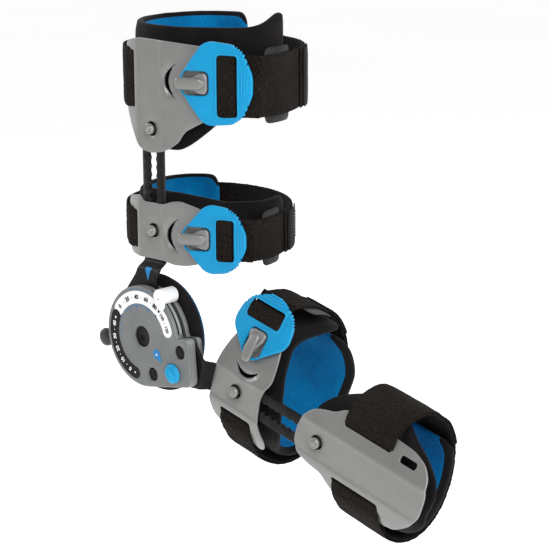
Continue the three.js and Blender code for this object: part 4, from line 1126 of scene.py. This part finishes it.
def fabric_band(name, line, width, z, thick, materials, place, wave=0.35, spacing=1.3, nap=0.24, seed=0.0,
                taper=0.0):
    """A strap swept along a line: soft in its edges, a little wavy, with a nap and corners cut by taper."""
    path, at = evenly(np.asarray(line, float), spacing, 4)
    section = ring_section(19)
    stations = []
    for run, p, n in zip(at, path, ahead_and_left(path)[1]):
        near = min(run, at[-1] - run)
        close = math.sqrt(max(0.0, 1 - (1 - min(1.0, near / 0.9)) ** 2)) if near < 0.9 else 1.0
        corner = taper - math.sqrt(max(0.0, taper ** 2 - (taper - near) ** 2)) if near < taper else 0.0
        drift = wave * 0.9 * math.sin(run * 0.021 + seed)
        station = []
        for across, depth in section:
            edge = 1 - 0.45 * abs(across) ** 8
            ripple = wave * noise.noise(Vector((run * 0.045, across * 1.4, seed)))
            frayed = 0.35 * noise.noise(Vector((run * 0.5, across * 3, seed + 7))) * abs(across) ** 6
            d = depth * thick / 2 * edge * max(close, 0.25) + ripple
            side = across * (width / 2 - corner) + frayed + drift
            station.append((p[0] + n[0] * d, p[1] + n[1] * d, z + side))
        stations.append(station)
    piece = strip(name, stations, materials, None, place)
    if nap:
        rough_up(piece, nap, 1.7)
        rough_up(piece, nap * 0.7, 0.8)
    return piece


def part_of(path, start, end):
    return path[round(start * (len(path) - 1)):round(end * (len(path) - 1)) + 1]


def make_strap(cuff):
    """The strap and its sewn end and, on the cuffs with a clip, the keeper tab and the fold."""
    name, place, z, width = cuff["name"], cuff["place"], cuff["strap_z"], cuff["strap_width"]
    body, path, seed = name + "_cuff", main_path(cuff), len(name) + z * 0.01
    over, under = moved(path, 1.0), moved(path, -1.0)
    line = [*part_of(over, 0.0, cuff["end_at"][1] + 0.01)[::-1][:-2], *slot_turn(-1, 30)]
    if cuff["buckle"]:
        line += [*under[2:]]
    else:
        again = part_of(over, cuff["end_at"][1] + 0.03, 1.0)
        line += [*under[2:-2], *slot_turn(1, 31)[::-1], *again[::-1][2:]]
    strap = fabric_band(name + "_loop_strap", line, width, z, 1.95, [STRAP], place, seed=seed)
    if cuff["buckle"]:
        # only the last centimetres by the clip lie this far along (1, -1): the slot end stays on the cuff
        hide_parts(name + "_strap")
        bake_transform(strap)
    else:
        done(strap, body, "strap_fabric", name + "_strap")
    tip = part_of(moved(path, 3.0), *cuff["end_at"])
    end = fabric_band(name + "_strap_end_tab", tip, width - 1.0, z, 1.5, [STRAP_TAB], place, 0.2, 1.6, 0.05,
                      seed + 3, 4.0)
    done(end, body, "strap_fabric", name + "_strap_end")
    stitch_rows(name + "_end_stitches", moved(path, 3.9), cuff["end_at"], z, width - 9, place, body)
    if cuff["buckle"]:
        make_keeper(cuff, part_of(moved(path, -3.0), *cuff["keeper_at"]), seed + 5)
        make_fold(cuff, seed + 9)


def make_keeper(cuff, line, seed):
    name, width, z = cuff["name"], cuff["strap_width"], cuff["strap_z"]
    finish = TAB_GREY if name == "upper_calf" else TAB
    keeper = fabric_band(name + "_keeper_strip", line, width + 12, z + cuff.get("keeper_shift", 0), 1.5,
                         [finish], cuff["place"], 0.1, 1.6, 0.0, seed, 6.0)
    done(keeper, name + "_cuff", "black_plastic", name + "_keeper_tab")


def make_fold(cuff, seed):
    """The strap's way round the clip's outer bar, as (along, depth) on the clip's plane."""
    name, (x0, x1) = cuff["name"], cuff["buckle"]["window"]
    past = cuff["buckle"]["reach"] + cuff.get("fold_past", 3.4)
    fold = [(past, 6.9), (past - 2.4, 6.3), (x1 + 3, 5.4), (x1, 5.0), (x0 + 6, 4.3), (x0 + 0.8, 3.2),
            (x0 - 0.3, 1.5), (x0 + 1.4, 0.3), (x0 + 6, -0.1), ((x0 + x1) / 2 + 3, 0.3), (x1 - 1.6, 1.7)]
    line = np.stack(buckle_plane(*spline(fold, 0.8)[0].T), 1)
    width = 2 * cuff["buckle"]["window_half"] + 0.8
    piece = fabric_band(name + "_folded_strap", line, width, cuff["strap_z"], 1.7, [STRAP], cuff["place"],
                        0.1, 1.2, 0.14, seed)
    done(piece, name + "_clip", "strap_fabric", name + "_strap_fold")


def stitch_rows(name, path, span, z, width, place, body, gap=2.6):
    """Two rows of thread across a strap's end tab, each stitch a small raised capsule."""
    rings = ((-0.95, 0.08, 0.0), (-0.6, 0.26, 0.1), (0, 0.3, 0.22), (0.6, 0.26, 0.1), (0.95, 0.08, 0.0))
    around = [(math.cos(a * math.pi / 3), math.sin(a * math.pi / 3)) for a in range(6)]
    ahead = ahead_and_left(path)[0]
    verts, faces = [], []
    for share in (span[0] + 0.012, span[1] - 0.012):
        i = round(share * (len(path) - 1))
        (x, y), (dx, dy) = path[i], ahead[i]
        for k in range(int(width / gap)):
            middle, base = z - width / 2 + (k + 0.5) * gap, len(verts)
            for along, half, lift in rings:
                for c, s in around:
                    off, out = half * c, half * s + lift
                    verts.append((x + dx * off - dy * out, y + dy * off + dx * out, middle + along))
            for first in range(base, base + 24, 6):
                for a, b in zip(range(first, first + 6), (*range(first + 1, first + 6), first)):
                    faces.append((a, b, b + 6, a + 6))
            faces += [tuple(range(base, base + 6)), tuple(range(base + 29, base + 23, -1))]
    done(add_mesh(name, verts, faces, [TAB], None, place), body, "black_plastic")


LINER_HALF = 4.1
BINDING_WIDTH = 4.5
ROUND_END = 10.0


def make_liner(cuff):
    """Foam between a black outer face and a blue inner one, bound at its edge and puffed."""
    name, place = cuff["name"], cuff["place"]
    path, at = spline(cuff["liner"], 4.2)
    spacing = at[-1] / (len(path) - 1)
    (low0, high0), (low1, high1) = cuff["liner_z"], cuff["arms"]
    middle = 15
    across = [-1, -0.955, -0.9, *np.linspace(-0.82, 0.82, middle), 0.9, 0.955, 1]
    thin = [0.42, 0.62, 0.66, *([0.94] * middle), 0.66, 0.62, 0.42]
    section = [(a, d, t) for d in (-1, 1) for a, t in list(zip(across, thin))[::-d]]
    which = [1 if abs(a) > 0.87 else (2 if d < 0 else 0) for a, d, _ in section]
    shares = np.linspace(0, 1, len(path))
    rims = [np.interp(shares, *zip(*cuff.get(side, [(0, 0)]))) for side in ("low_rim", "high_rim")]
    stations, free = [], []
    for i, (p, n) in enumerate(zip(path, ahead_and_left(path)[1])):
        # going back from the shell, the liner's edges move from liner_z to arms
        t = np.clip((p[1] - 5) / 19, 0, 1)
        along = min(i, len(path) - 1 - i) * spacing
        corner = ROUND_END - math.sqrt(max(0, ROUND_END ** 2 - (ROUND_END - min(along, ROUND_END)) ** 2))
        lift = cuff["flare"] * max(0.0, 1 - i * spacing / 36) ** 2
        low = low0 + (low1 - low0) * t + rims[0][i] + corner * 0.8
        high = high0 + (high1 - high0) * t + rims[1][i] - corner * 0.8 + lift
        end = min(1.0, 0.5 + along / 14)
        station = []
        for a, d, share in section:
            depth = d * LINER_HALF * share * end
            z = (low + high) / 2 + a * (high - low) / 2
            station.append((p[0] + n[0] * depth, p[1] + n[1] * depth, z))
            near = min((1 - abs(a)) * (high - low) / 2, along)
            free.append(min(1.0, max(0.0, (near - BINDING_WIDTH) / 5)))
        stations.append(station)
    piece = strip(name + "_padded_liner", stations, [LINER_OUT, BINDING, LINER_IN], which, place, 60)
    wanted = placed([q for station in stations for q in station], place) * MM
    co = np.array([v.co for v in piece.data.vertices])
    loose = np.zeros(len(co))
    for share, q in zip(free, wanted):
        loose[np.argmin(((co - q) ** 2).sum(1))] = share
    puff(piece, loose, 4.0, 0.9)
    rough_up(piece, 0.35, 9)
    piece.modifiers.new("smooth", "SUBSURF").render_levels = 1
    done(piece, name + "_cuff", "blue_lining", name + "_liner")


# ---- the CAD nodes that stay ----

def refinish():
    """The hidden nodes keep their CAD shape, with a finish and a small bevel."""
    looks = {"bearing_washer": WHITE, "knee_pad_plate": BLACK, "flexion_lever": STEEL,
             "extension_lever": STEEL, "lock_retainer": STEEL}
    for cuff in CUFFS:
        looks[cuff["name"] + "_bar_keeper"] = BLACK
        looks[cuff["name"] + "_button_spring"] = STEEL
    for name, material in looks.items():
        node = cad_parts[name]
        node.data.materials.clear()
        node.data.materials.append(material)
        bevel = node.modifiers.new("edge", "BEVEL")
        bevel.width = 0.25 * MM
        bevel.segments = 2
        bevel.angle_limit = math.radians(50)


# ---- camera, floor and light ----

def make_camera():
    camera = bpy.data.objects.new("camera", bpy.data.cameras.new("camera"))
    scene.collection.objects.link(camera)
    camera.location = (1.1015, -0.9992, 0.4159)
    azimuth, tilt, roll = math.radians(44.24), math.radians(13.93), math.radians(0.22)
    camera.rotation_euler = (math.pi / 2 - tilt, 0, azimuth)
    camera.rotation_euler.rotate_axis("Z", -roll)
    camera.data.lens = 119.2
    camera.data.sensor_width = 36
    scene.camera = camera


def make_floor():
    far = 40
    mesh = bpy.data.meshes.new("floor")
    mesh.from_pydata([(-far, -far, 0), (far, -far, 0), (far, far, 0), (-far, far, 0)], [], [(0, 1, 2, 3)])
    floor = bpy.data.objects.new("floor", mesh)
    floor.location = (0, 0, -0.37)
    scene.collection.objects.link(floor)
    mat, tree, shader = nodes_of("floor_pale")
    shade = ramp(tree, noise_node(tree, 1.2, 2.0), [(0.3, (0.90, 0.90, 0.90)), (0.7, (0.93, 0.93, 0.93))])
    set_inputs(tree, shader, Base_Color=shade, Emission_Color=(1, 1, 1, 1), Emission_Strength=0.42,
               Roughness=0.9)
    mesh.materials.append(mat)


def make_lights():
    scene.view_settings.view_transform = "Standard"
    scene.world = bpy.data.worlds.new("studio")
    scene.world.use_nodes = True
    tree = scene.world.node_tree
    set_inputs(tree, tree.nodes["Background"], Color=(1, 1, 1, 1), Strength=0.6)
    lights = (("key", (1.35, -0.85, 1.2), 0.8, 18), ("side", (1.8, 0.15, 0.6), 0.8, 11),
              ("back", (-1.0, 1.2, 1.3), 1.0, 10), ("left", (-1.3, -0.5, 0.7), 0.6, 7))
    for name, place, size, power in lights:
        light = bpy.data.objects.new(name, bpy.data.lights.new(name, "AREA"))
        light.data.size = size
        light.data.energy = power
        light.location = place
        light.rotation_euler = (Vector((0.1, 0.0, 0.05)) - Vector(place)).to_track_quat("-Z", "Y").to_euler()
        scene.collection.objects.link(light)


# ---- assembly ----

make_camera()
make_floor()
make_lights()
make_thigh_bar()
make_calf_bar()
make_covers()
make_pivot()
make_dial()
make_lock()
make_flexion_stop()
make_extension_stop()
make_knee_pad()
for each in CUFFS:
    make_shell(each)
    make_button(each)
    make_strap(each)
    make_liner(each)
    if each["buckle"]:
        make_hook(each)
        make_buckle(each)
refinish()
